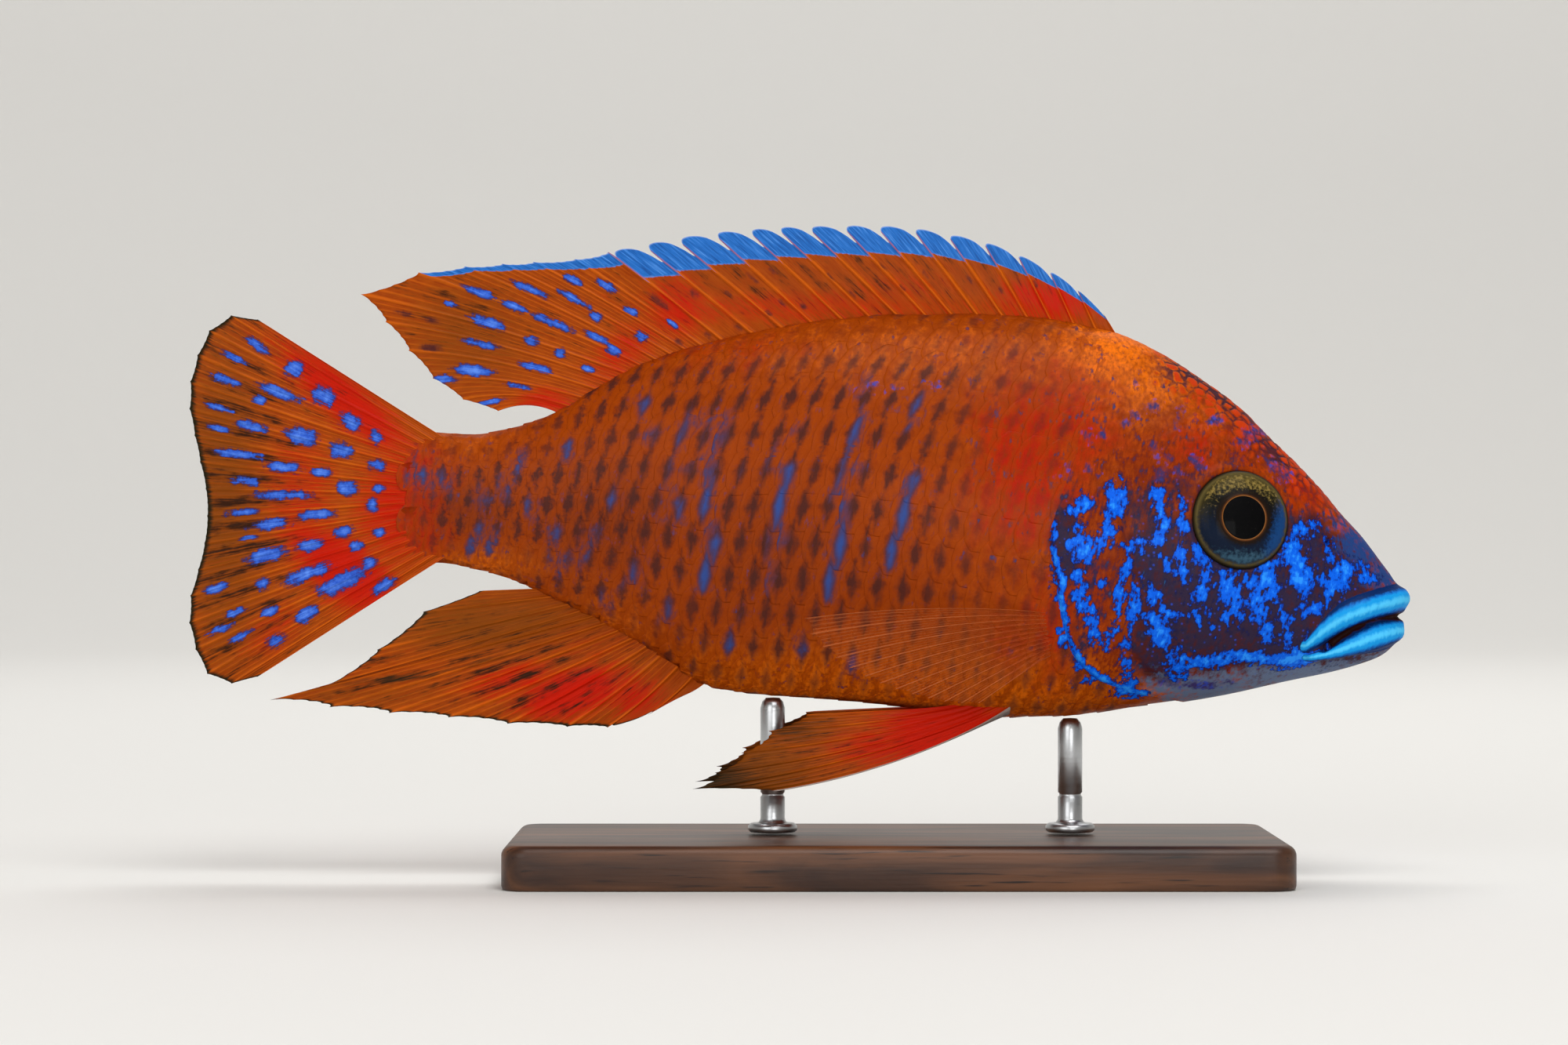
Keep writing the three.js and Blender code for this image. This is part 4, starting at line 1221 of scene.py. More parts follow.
@dataclass(frozen=True)
class Skin:
    """One seamless skin for the whole fish: head relief in full, the flanks sunk under the scales."""

    voxel: float = 0.45
    sunk: float = 0.3
    cover_rise: float = 0.45
    upper_lip: Lip = Lip(
        69.9, 57.2, 5.8, 1.4,
        Line((57.2, 8.6), (59, 10.2), (61.6, 11.8), (65, 13), (68.4, 13.8)),
        Line((57.2, 0.7), (59, 1.3), (61.6, 1.45), (65, 1.4), (68.4, 1.35)),
    )
    lower_lip: Lip = Lip(
        69.3, 57.6, 5.4, 1.3,
        Line((57.6, 7.1), (59.6, 7.5), (63.2, 8.6), (65.6, 9.4), (68, 10)),
        Line((57.6, 0.4), (59.6, 0.65), (63.2, 1.2), (65.6, 1.45), (68, 1.2)),
    )
    head_edge: tuple = (
        (38.5, 60), (36.2, 42), (32.6, 32), (29.8, 25), (28.6, 20.8), (29.2, 16.5), (29.9, 12), (31.2, 7.5),
        (33.6, 4.6), (38, 2.9), (44, 1.9), (47, -20),
    )
    gill_cover: tuple = (
        (29.9, 25), (28.65, 20.8), (29.25, 16.5), (29.95, 12), (31.25, 7.5), (33.7, 4.7), (38.1, 3.1),
        (43.8, 2.2), (41.6, 4.3), (39, 7), (38, 11), (38.1, 16), (37.4, 21), (35.2, 25.2), (32.4, 26.6),
    )
    cheek_crease: tuple = (
        (36.6, 24.5), (37.4, 20.8), (37.7, 16.7), (37.6, 13.5), (37.4, 9.5), (38.6, 6.3), (42, 4),
    )
    plate_size: float = 1.15 / 0.85
    plate_height: float = 0.09
    crease_depth: float = 0.28
    mouth_depth: float = 0.75
    socket_depth: float = 1.9
    nostril: tuple = (60.6, 20.2)
    nostril_depth: float = 0.8
    scaly: tuple = patches(
        (49, 35, 6, 4), (54, 31, 4.5, 3.6), (58.5, 26.5, 3.4, 3.6, 0.9), (40, 38, 7, 5, 0.7),
        (40, 29, 7, 6, 0.5), (34, 18, 4, 8, 0.45), (45, 12, 6, 6, 0.35),
    )
    mouth_line: tuple = ((70.4, 11.95), (69.8, 11.8), (66.1, 11.1), (62.9, 9.8), (60, 8))

    def blank(self) -> Object:
        """The body and lips as one even mesh, in millimetres."""
        x = np.concatenate([np.linspace(FORM.tail_end, 56, 150)[:-1], np.linspace(56, FORM.snout_end, 50)])
        rings = FORM.surface(x[:, None], whole_turn(120)[None, :])
        tail, nose = rings[0].mean(0), rings[-1].mean(0)
        tail_cap = tail + (rings[0] - tail) * 0.8 - (0.4, 0, 0)
        nose_cap = nose + (rings[-1] - nose) * 0.7 + (0.5, 0, 0)
        rings = np.concatenate([tail_cap[None], rings, nose_cap[None]])
        points = rings.reshape(-1, 3)
        faces = tube_faces(*rings.shape[:2])
        for lip in (self.upper_lip, self.lower_lip):
            roll, more = lip.roll()
            faces += [tuple(len(points) + i for i in face) for face in more]
            points = np.vstack([points, roll])
        made = make_mesh("skin", points, faces, in_place=False)
        even = made.modifiers.new("even", "REMESH")
        even.mode = "VOXEL"
        even.voxel_size = self.voxel
        smooth = made.modifiers.new("smooth", "SMOOTH")
        smooth.factor = 0.5
        smooth.iterations = 4
        return finished(made)

    def refine_head(self, piece: Object) -> None:
        """Halves the mesh of the head.

        Args:
            piece: The skin.
        """
        form = bmesh.new()
        form.from_mesh(piece.data)
        edges = [e for e in form.edges if min(e.verts[0].co.x, e.verts[1].co.x) > 27.5]
        bmesh.ops.subdivide_edges(form, edges=edges, cuts=1, use_grid_fill=True)
        form.to_mesh(piece.data)
        form.free()

    def relief(self, points: ndarray) -> ndarray:
        """How far each point is moved out of the plain form.

        Args:
            points: The skin's points.
        Returns:
            Millimetres along the skin's own outward direction.
        """
        side = as_measured(points)
        x, z = side.T
        soft = 0.3 + 3.2 * smooth_step(28, 37, z)
        lift = -self.sunk * smooth_step(1, -1, (x - self.edge_at(z) + soft) / soft)
        cover = evenly_spaced(self.gill_cover + self.gill_cover[:1], 160)
        away = distance_to(cover, side, 8)
        within = inside(cover, side)
        rear = smooth_step(39, 34, x + 0.25 * np.maximum(0, 8 - z)) * smooth_step(26, 20, z)
        lift += np.where(within, self.cover_rise * smooth_step(0, 0.45, away) * (0.1 + 0.9 * rear), 0)
        lift += np.where(within, 0, -0.12 * smooth_step(0.8, 0.1, away) * rear)
        lift -= self.crease_depth * bell(distance_to(evenly_spaced(self.cheek_crease, 60), side, 3), 0.35)
        lift -= self.mouth_depth * bell(distance_to(evenly_spaced(self.mouth_line, 40), side, 3), 0.3)
        for eye in EYES:
            away = eye.away(points)
            lift += 0.16 * bell(away - 6.1, 0.4) - self.socket_depth * smooth_step(5.7, 5.0, away)
        plate = smooth_step(0, 0.4, self.plates(points)) - 0.8
        lift += strongest(self.scaly, side) * self.plate_height * plate
        away = np.hypot(x - self.nostril[0], z - self.nostril[1])
        return lift + 0.14 * bell(away - 0.72, 0.2) - self.nostril_depth * smooth_step(0.5, 0.3, away)

    def edge_at(self, z: ndarray) -> ndarray:
        """How far back the bare skin of the head reaches at a height."""
        x, height = np.array(self.head_edge, float)[::-1].T
        return np.interp(z, height, x)

    def plates(self, points: ndarray) -> ndarray:
        """How far each point is from the gaps between the head's small plates."""
        return plate_gaps(points, self.plate_size, 5)

    def lips_at(self, points: ndarray) -> tuple[ndarray, ndarray, ndarray]:
        """How much each point belongs to a lip, how near the roll's crest, and the mouth slit's painted
        shade.
        """
        upper, high = self.upper_lip.at(points)
        lower, low = self.lower_lip.at(points)
        lip = np.maximum(upper, lower)
        crest = 1 - np.abs(np.where(upper > lower, high + 0.1, low - 0.15))
        slit = distance_to(evenly_spaced(self.mouth_line, 40), as_measured(points), 2)
        return lip, crest, smooth_step(1.1, 0.5, slit) * (1 - lip) * (points[:, 0] > 60)

    def build(self) -> Object:
        """Makes the skin, with its relief and its colours."""
        piece = self.blank()
        self.refine_head(piece)
        plain = points_of(piece)
        normals = np.empty(len(plain) * 3, np.float32)
        piece.data.vertex_normals.foreach_get("vector", normals)
        points = plain + normals.reshape(-1, 3) * self.relief(plain)[:, None]
        side = as_measured(points)
        move_points(piece, points)
        store(piece, "tone", *COLOURS.tone(side))
        store(piece, "zone", *COLOURS.zone(side))
        store(piece, "head", *COLOURS.head(side), self.plates(plain))
        store(piece, "lip", *self.lips_at(plain))
        store(piece, "mark", COLOURS.strokes_of_blue(side), strongest(COLOURS.violet, side), 0 * side[:, 0])
        piece.data.materials.clear()
        piece.data.materials.append(FishSkin().material())
        return piece


# The scales


@dataclass(frozen=True)
class ScaleRows:
    """Overlapping scales in offset rows, laid flat and then wrapped on a flank."""

    name: str = "scales"
    front: float = 38.0
    rear: float = -44.6
    pitch: Line = Line((-46, 2), (-30, 2.3), (-5, 2.8), (38, 2.8))
    row: Line = Line((-46, 2.5), (-30, 3.1), (-12, 3.9), (5, 4.25), (38, 4.25))
    half_height: float = 0.7  # of a plate, in rows
    buried: float = 1.15  # of a plate ahead of its place, in columns
    free: float = 0.98  # of a plate behind its place, in columns
    seed: int = 11
    turn: float = 0.05  # of a plate on the flank, either way, in radians
    margin: float = 1.6  # how far the rows go on past back and belly
    overhang: float = 1.4  # how far they go on under the bare skin of the head
    faint: tuple = patches(
        (26, 26, 6, 12), (33, 40, 7, 6), (10, 3, 30, 3, 0.6), (24, 10, 6, 8, 0.8), (5, 44, 30, 2.6),
        (-38, 32.5, 12, 2.6), (-36, 18, 10, 2.2), (-20, 10, 9, 3, 0.8), (-45, 25, 3, 9),
    )

    def plate(self) -> Object:
        """One scale in columns and rows, its free edge rounded; X runs towards the tail."""
        v = np.array([-1, -0.95, -0.6, 0, 0.6, 0.95, 1])
        u = np.array([0, 0.4, 0.72, 0.93, 0.988, 1])[:, None]
        edge = self.free - 0.62 * (1 - np.sqrt(1 - (0.97 * v) ** 2))
        root = 0.25 * v**2 - self.buried
        place = root + (edge - root) * u
        rise = -0.2 + 0.17 * u + 0.03 * (1 - v**2) - 0.02 * (u > 0.99) - 0.02 * (np.abs(v) > 0.99)
        top = np.stack([place, 0 * u + v * self.half_height, rise], axis=-1).reshape(-1, 3)
        grid = np.arange(len(top)).reshape(len(u), len(v))
        rim = np.concatenate([grid[:, 0], grid[-1, 1:], grid[-2::-1, -1], grid[0, -2:0:-1]]).tolist()
        below = list(range(len(top), len(top) + len(rim)))
        faces = [face[::-1] for face in grid_faces(len(u), len(v))]
        faces += [(rim[i - 1], below[i - 1], below[i], rim[i]) for i in range(len(rim))]
        points = np.vstack([top, top[rim] - (0, 0, 0.07)])
        return make_mesh("one_scale", points, faces + [tuple(below)], in_place=False)

    def columns(self) -> tuple[ndarray, ndarray]:
        """The place along the body of each tenth of a column, from the head back."""
        places = [self.front]
        while places[-1] > self.rear - 6:
            places.append(places[-1] - self.pitch(places[-1]) / 10)
        return np.arange(len(places)) / 10, np.array(places)

    def cells(self, flat: Unrolled) -> ndarray:
        """Column and row of every scale that lies on the flank.

        Args:
            flat: The flank laid flat.
        Returns:
            Column and row numbers.
        """
        steps, places = self.columns()
        found = []
        for row in range(-9, 10):
            for column in range(int(steps[-1])):
                at = column + 0.5 * (row % 2)
                x = np.interp(at, steps, places)
                up = row * self.row(x)
                low, high = flat.reach(x)
                z = FORM.surface(x, flat.angle_at(x, up))[2]
                within = low - self.margin < up < high + self.margin
                if within and self.rear < x < Skin().edge_at(z) + self.overhang:
                    found.append((at, row))
        return np.array(found, float)

    def tree(self) -> NodeTree:
        """The node tree that sets a plate on every place and turns it a little."""
        tree = bpy.data.node_groups.new("set_scales", "GeometryNodeTree")
        tree.interface.new_socket("Scales", in_out="OUTPUT", socket_type="NodeSocketGeometry")
        kinds = dict(Places="Geometry", Plate="Object", Finish="Material", Turn="Float", Seed="Int")
        for name, kind in kinds.items():
            tree.interface.new_socket(name, in_out="INPUT", socket_type=f"NodeSocket{kind}")
        given = add_node(tree, "NodeGroupInput").outputs
        plate = add_node(tree, "GeometryNodeObjectInfo", {"Object": given["Plate"]}).outputs["Geometry"]
        less = add_node(tree, "Math.MULTIPLY", given["Turn"], -1)
        limits = {"Min": less, "Max": given["Turn"], "Seed": given["Seed"]}
        turn = add_node(tree, "FunctionNodeRandomValue", limits, data_type="FLOAT")
        turn = add_node(tree, "CombineXYZ", {2: turn})
        inputs = {"Points": given["Places"], "Instance": plate, "Rotation": turn}
        whole = add_node(tree, "GeometryNodeInstanceOnPoints", inputs)
        whole = add_node(tree, "GeometryNodeRealizeInstances", whole)
        dressed = add_node(tree, "GeometryNodeSetMaterial", {0: whole, "Material": given["Finish"]})
        add_node(tree, "NodeGroupOutput", dressed)
        return tree

    def build(self, side: Side, flat: Unrolled, finish: Material) -> Object:
        """Makes the scales of one flank.

        Args:
            side: Which flank.
            flat: The left flank laid flat.
            finish: Their material.
        Returns:
            The scales as one mesh.
        """
        cells = self.cells(flat)
        plate = self.plate()
        places = np.column_stack([cells, np.zeros(len(cells))])
        made = make_mesh(side.piece(self.name), places, [], in_place=False, closed=False)
        modifier = made.modifiers.new("set_scales", "NODES")
        modifier.node_group = self.tree()
        values = {"Plate": plate, "Finish": finish, "Turn": self.turn, "Seed": self.seed + side.value}
        for socket in modifier.node_group.interface.items_tree:
            if socket.in_out == "INPUT" and socket.name in values:
                modifier[socket.identifier] = values[socket.name]
        made = finished(made)
        self.lay_map(made, cells, plate)
        local = np.tile(points_of(plate), (len(cells), 1))
        bpy.data.objects.remove(plate)
        # Each point's own column, row and height, and those of its scale.
        at, above, height = points_of(made).T
        home, home_row = np.repeat(cells, len(local) // len(cells), axis=0).T
        steps, places = self.columns()
        home_x = np.interp(home, steps, places)
        row = self.row(home_x)
        lean = 0.1 + 0.38 * smooth_step(-1.5, 3.5, home_row) * smooth_step(-34, -8, home_x)
        x = np.where(at < 0, self.front - at * self.pitch(self.front), np.interp(at, steps, places))
        x = x + lean * local[:, 1] * row
        up = above * row
        angle = flat.angle_at(x, up)
        shrink = 0.45 + 0.55 * smooth_step(-46, -22, home_x)
        low, high = flat.reach(x)
        past = np.maximum(np.maximum(up - high, low - up), 0)
        points = FORM.surface(x, angle) + FORM.outward(x, angle) * (height * shrink - 0.5 * past)[:, None]
        points[:, 1] *= side.value
        if side is Side.RIGHT:
            made.data.flip_normals()
        move_points(made, points)
        middle = as_measured(FORM.surface(home_x, flat.angle_at(home_x, home_row * row)))
        column = np.interp(-x, -places, steps)
        lattice = column, up / self.row(x), lean * row / self.pitch(home_x)
        self.paint(made, as_measured(points), middle, lattice)
        return made

    def lay_map(self, made: Object, cells: ndarray, plate: Object) -> None:
        """Gives each scale its own cell of a UV map, named OFBake, for its colours.

        Args:
            made: The scales.
            cells: Column and row of each.
            plate: The scale that was copied.
        """
        loops = plate.data.loops
        corners = np.empty(len(loops), np.int32)
        loops.foreach_get("vertex_index", corners)
        under = np.zeros(len(loops), bool)
        for face in plate.data.polygons:
            under[list(face.loop_indices)] = face.normal.z < 0.5
        along, across, _ = points_of(plate)[corners].T
        u = (along + self.buried) / (self.buried + self.free) * 0.8
        u = np.where(under, 0.84 + u * 0.1, u)
        v = (across / self.half_height + 1) / 2 * 0.9
        column, row = cells[:, :1], cells[:, 1:] - cells[:, 1].min()
        sheet = np.stack([(column + u) / (column.max() + 2), (row + 0.05 + v) / (row.max() + 1)], axis=-1)
        layer = made.data.uv_layers.new(name="OFBake")
        layer.data.foreach_set("uv", sheet.reshape(-1).astype(np.float32))

    def paint(self, made: Object, side: ndarray, middle: ndarray, lattice: tuple) -> None:
        """Stores where each scale's colours lie.

        Args:
            made: The scales.
            side: The points in the side view.
            middle: The middle of each point's scale in the side view.
            lattice: Each point's column, row and lean.
        """
        x, z = side.T
        store(made, "tone", *COLOURS.tone(side))
        store(made, "zone", *(cover * smooth_step(26, 30, x) for cover in COLOURS.zone(side)))
        store(made, "head", *(cover * smooth_step(27, 31, x) for cover in COLOURS.head(side)), 0 * x)
        behind = smooth_step(30.5, 28.5, x) * (z < 24)
        violet = strongest(COLOURS.violet + COLOURS.lateral_line, side)
        store(made, "mark", COLOURS.strokes_of_blue(side) * (1 - behind), violet, smooth_step(-12, -32, x))
        store(made, "cell", *lattice)
        blue = strongest(COLOURS.bars, side) ** 1.5
        for speck_x, speck_z in COLOURS.specks:
            away = (x - speck_x) ** 2 + ((z - speck_z) * 0.6) ** 2
            blue = np.maximum(blue, 0.9 * np.exp2(-away / 0.9))
        dark = 0.9 - 0.65 * strongest(self.faint, middle)
        net = 1 - 0.6 * strongest(COLOURS.red, side) - 0.55 * strongest(COLOURS.shade, side)
        store(made, "spot", dark, blue, net)


# The eyes


@dataclass(frozen=True)
class Eye:
    """A domed eye set square on the side of the head."""

    side: Side
    x: float = 49.5
    z: float = 22.7
    radius: float = 5.6
    dome: float = 2.2
    rise: float = 1.5

    def frame(self) -> tuple[ndarray, ndarray, ndarray, ndarray]:
        """The eye's rim centre, and its forward, upward and outward directions."""
        x, z, step = self.x, self.z, 0.5
        along = np.array([2 * step, FORM.side_y(x + step, z) - FORM.side_y(x - step, z), 0])
        upward = np.array([0, FORM.side_y(x, z + step) - FORM.side_y(x, z - step), 2 * step])
        out = np.cross(upward, along)
        out /= np.linalg.norm(out)
        centre = np.array([x, FORM.side_y(x, z) + self.rise - self.dome, z])
        flip = np.array([1, self.side.value, 1])
        out = out * flip
        forward = np.array([1, 0, 0]) - out[0] * out
        forward /= np.linalg.norm(forward)
        up = np.array([0, 0, 1]) - out[2] * out - forward[2] * forward
        up /= np.linalg.norm(up)
        return centre * flip, forward, up, out

    def away(self, points: ndarray) -> ndarray:
        """How far each point is from the line through the pupil, or far for the other side."""
        centre, _, _, out = self.frame()
        offset = points - centre
        flat = offset - (offset @ out)[:, None] * out
        return np.where(offset[:, 1] * self.side.value > -6, np.linalg.norm(flat, axis=1), 99)

    def build(self, finish: Material) -> Object:
        """Makes the eye.

        Args:
            finish: Its material.
        Returns:
            The eye.
        """
        centre, forward, up, out = self.frame()
        # The outline's steps are closest round the pupil, where a rim stands out of the dome.
        runs = (0.03, 0.38, 8), (0.4, 0.56, 17), (0.58, 1, 20)
        share = np.concatenate([np.linspace(*run) for run in runs])
        height = self.dome * np.sqrt(1 - (0.985 * share) ** 2)
        height += 0.08 * bell(share - 0.47, 0.02) - 0.06 * bell(share - 0.9, 0.03)
        share = np.append(share, [1, 0.97, 0.5])
        height = np.append(height, [-1.2, -2.4, -3.6])
        turns = whole_turn(96)
        cos, sin = np.cos(turns), np.sin(turns)
        flat = self.radius * share[:, None, None] * (cos[:, None] * forward + sin[:, None] * up)
        rings = (centre + flat + height[:, None, None] * out).reshape(-1, 3)
        made = make_mesh(self.side.piece("eyeball"), rings, tube_faces(len(share), len(turns)), finish)
        share = share[:, None]
        store(made, "iris", (share * cos).ravel(), (share * sin).ravel(), np.repeat(share, len(turns)))
        return made


EYES = (Eye(Side.LEFT), Eye(Side.RIGHT))


# The fins


@dataclass(frozen=True)
class Ray:
    """One fin ray, bent evenly from root to tip."""

    root: ndarray
    tip: ndarray
    bow: tuple[float, float, float] = (0, 0, 0)

    def at(self, share: ndarray) -> ndarray:
        """Points along the ray, 0 at its root and 1 at its tip."""
        middle = (self.root + self.tip) / 2 + 2 * np.array(self.bow)
        t = np.asarray(share, float)[..., None]
        return (1 - t) ** 2 * self.root + 2 * t * (1 - t) * middle + t**2 * self.tip


@dataclass
class Fin:
    """A fin: rays, the film between them and the colours on it."""

    name: str
    node: str
    rays: list[Ray]
    spines: int = 0  # how many of the rays are stiff
    root: float = 1.3
    film: float = 0.16
    thickest: float = 1.6
    ray_width: float = 0.3
    spine_notch: float = 0.32
    flag: Line = Line(
        (0, 0.78), (0.04, 0.4), (0.12, 0.66), (0.27, 0.9), (0.46, 0.98), (0.62, 1), (0.82, 0.97),
        (0.94, 0.88), (1, 0.78),
    )  # the film's edge from one spine's tip, 1 at the full reach, to the next spine's
    soft_notch: float = 0.018
    columns: int = 16
    rows: int = 56
    red: tuple = ()
    dark: tuple = ()
    brown: tuple = ()
    streaked: tuple = ()  # where dark streaks lie between the rays
    spots: tuple = ()  # each with its place, length and width
    dark_spots: tuple = ()
    tipped: float = 0.0  # how much of the lappets is blue
    dark_edge: float = 0.0  # millimetres of smoky margin
    white_edge: float = 0.0  # millimetres of the first ray that are white

    def reach(self, gap: int, share: float) -> float:
        """How far out the film goes between two rays, as a share of the ray.

        Args:
            gap: The number of the ray before the gap.
            share: How far across the gap.
        Returns:
            The reach.
        """
        if gap + 1 < self.spines:
            return 1 - self.spine_notch * (1 - self.flag(share))
        twigs = 0.25 * np.abs(np.sin(4 * math.pi * share))
        return 1 - self.soft_notch * (np.sin(math.pi * share) ** 0.6 + twigs)

    def grid(self) -> tuple[ndarray, ndarray, ndarray, ndarray]:
        """The fin's middle sheet.

        Returns:
            Its points, where each column lies between the rays, the share along the ray of each
            point, and the distance across to the nearest ray.
        """
        even = np.linspace(0, 1, self.columns + 1)
        step = 0.65 * (1 - np.cos(math.pi * even)) / 2 + 0.35 * even
        rows = np.linspace(0, 1, self.rows)
        last = len(self.rays) - 2
        found = []
        for gap in range(last + 1):
            for share in step[:-1] if gap < last else step:
                v = rows * self.reach(gap, share)
                a, b = self.rays[gap].at(v), self.rays[gap + 1].at(v)
                nearest = min(share, 1 - share) * np.linalg.norm(b - a, axis=1)
                found.append((a * (1 - share) + b * share, gap + share, v, nearest))
        return tuple(np.array(part) for part in zip(*found))

    def build(self, finish: Material, side: Side | None = None) -> Object:
        """Makes the fin.

        Args:
            finish: Its material.
            side: For a paired fin, which flank it is on.
        Returns:
            The fin.
        """
        sheet, where, share, away = self.grid()
        across, along = np.gradient(sheet, axis=(0, 1))
        normal = np.cross(across, along)
        normal /= np.maximum(np.linalg.norm(normal, axis=2, keepdims=True), 1e-9)
        stiff = (where < self.spines - 0.5)[:, None]
        ridge = np.exp(-((away / (self.ray_width * (1 - 0.6 * share))) ** 2)) * np.where(stiff, 0.55, 0.34)
        split = np.cos(8 * math.pi * (where % 1))[:, None] * 0.5 + 0.5
        branches = 0.09 * split * smooth_step(0.25, 0.7, share) * ~stiff
        fillet = (self.root - self.film) * np.maximum(0, 1 - 2.6 * share) ** 2
        thick = self.film * (1 - 0.4 * share) + fillet + ridge * (1 - 0.7 * share) + branches
        edge = smooth_step(0.94, 1, np.linspace(0, 1, self.rows))
        thick = np.minimum(thick, self.thickest) * (1 - 0.55 * edge)
        half = normal * thick[:, :, None] / 2
        points = np.concatenate([sheet + half, sheet - half]).reshape(-1, 3)
        grid = np.arange(len(points) // 2).reshape(share.shape)
        size = grid.size
        faces = grid_faces(*grid.shape)
        faces += [tuple(size + i for i in face[::-1]) for face in faces]
        for line in (grid[:, -1].tolist(), grid[:, 0].tolist(), grid[0].tolist(), grid[-1].tolist()):
            faces += [(a, b, size + b, size + a) for a, b in zip(line, line[1:])]
        if side is Side.RIGHT:
            points = points * (1, -1, 1)
        made = make_mesh(side.piece(self.name) if side else self.name, points, faces, finish)
        self.paint(made, sheet, along, where, share)
        return made

    def paint(self, made: Object, sheet: ndarray, along: ndarray, where: ndarray,
              share: ndarray) -> None:
        """Stores where the fin's colours lie.

        Args:
            made: The fin.
            sheet: Its middle sheet.
            along: The direction of the rays on the sheet.
            where: Where each column lies between the rays.
            share: How far along the ray each point is.
        """
        side = sheet[:, :, [0, 2]].reshape(-1, 2)
        run = along[:, :, [0, 2]].reshape(-1, 2)
        run = run / np.maximum(np.linalg.norm(run, axis=1, keepdims=True), 1e-9)
        where = np.repeat(where, sheet.shape[1])
        steps = np.linalg.norm(np.diff(sheet, axis=1), axis=2)
        out = np.pad(np.cumsum(steps, axis=1), ((0, 0), (1, 0)))
        from_edge = (out[:, -1:] - out).ravel()
        red, dark, brown, streaked = [
            strongest(parts, side) for parts in (self.red, self.dark, self.brown, self.streaked)
        ]
        tipped = white = 0 * from_edge
        if self.dark_edge:
            dark = np.maximum(dark, smooth_step(self.dark_edge, 0, from_edge))
        if self.white_edge:
            white = smooth_step(self.white_edge, 0.3 * self.white_edge, where)
        if self.tipped:
            # Blue on the outer part of each web, and along the edge of the first soft rays.
            rear = np.clip((where - self.spines + 1) / 5, 0, 1)
            border = 1 - self.spine_notch * (0.98 - 0.14 * (where % 1))
            soft = smooth_step(self.tipped + 0.3, self.tipped - 0.3, from_edge * (1 + rear)) * (rear < 1)
            tipped = np.where(rear > 0, soft, smooth_step(border - 0.02, border + 0.02, share.ravel()))
        spots = [0 * from_edge, 0 * from_edge]
        for i, places in enumerate((self.spots, self.dark_spots)):
            for x, z, long, wide in places:
                offset = side - (x, z)
                lie = run[int((offset**2).sum(1).argmin())]
                lengthways = np.abs(offset @ lie) / (0.47 * long)
                sideways = np.abs(offset @ (-lie[1], lie[0])) / (0.42 * wide)
                spots[i] = np.maximum(spots[i], np.exp2(-(lengthways**2.6 + sideways**2.2)))
        for name, values in {
            "ray": (where, out.ravel(), from_edge), "tone": (red, dark, tipped), "mark": (*spots, streaked),
            "wash": (brown, white, where < self.spines - 0.5),
        }.items():
            store(made, name, *(np.tile(value, 2) for value in values))


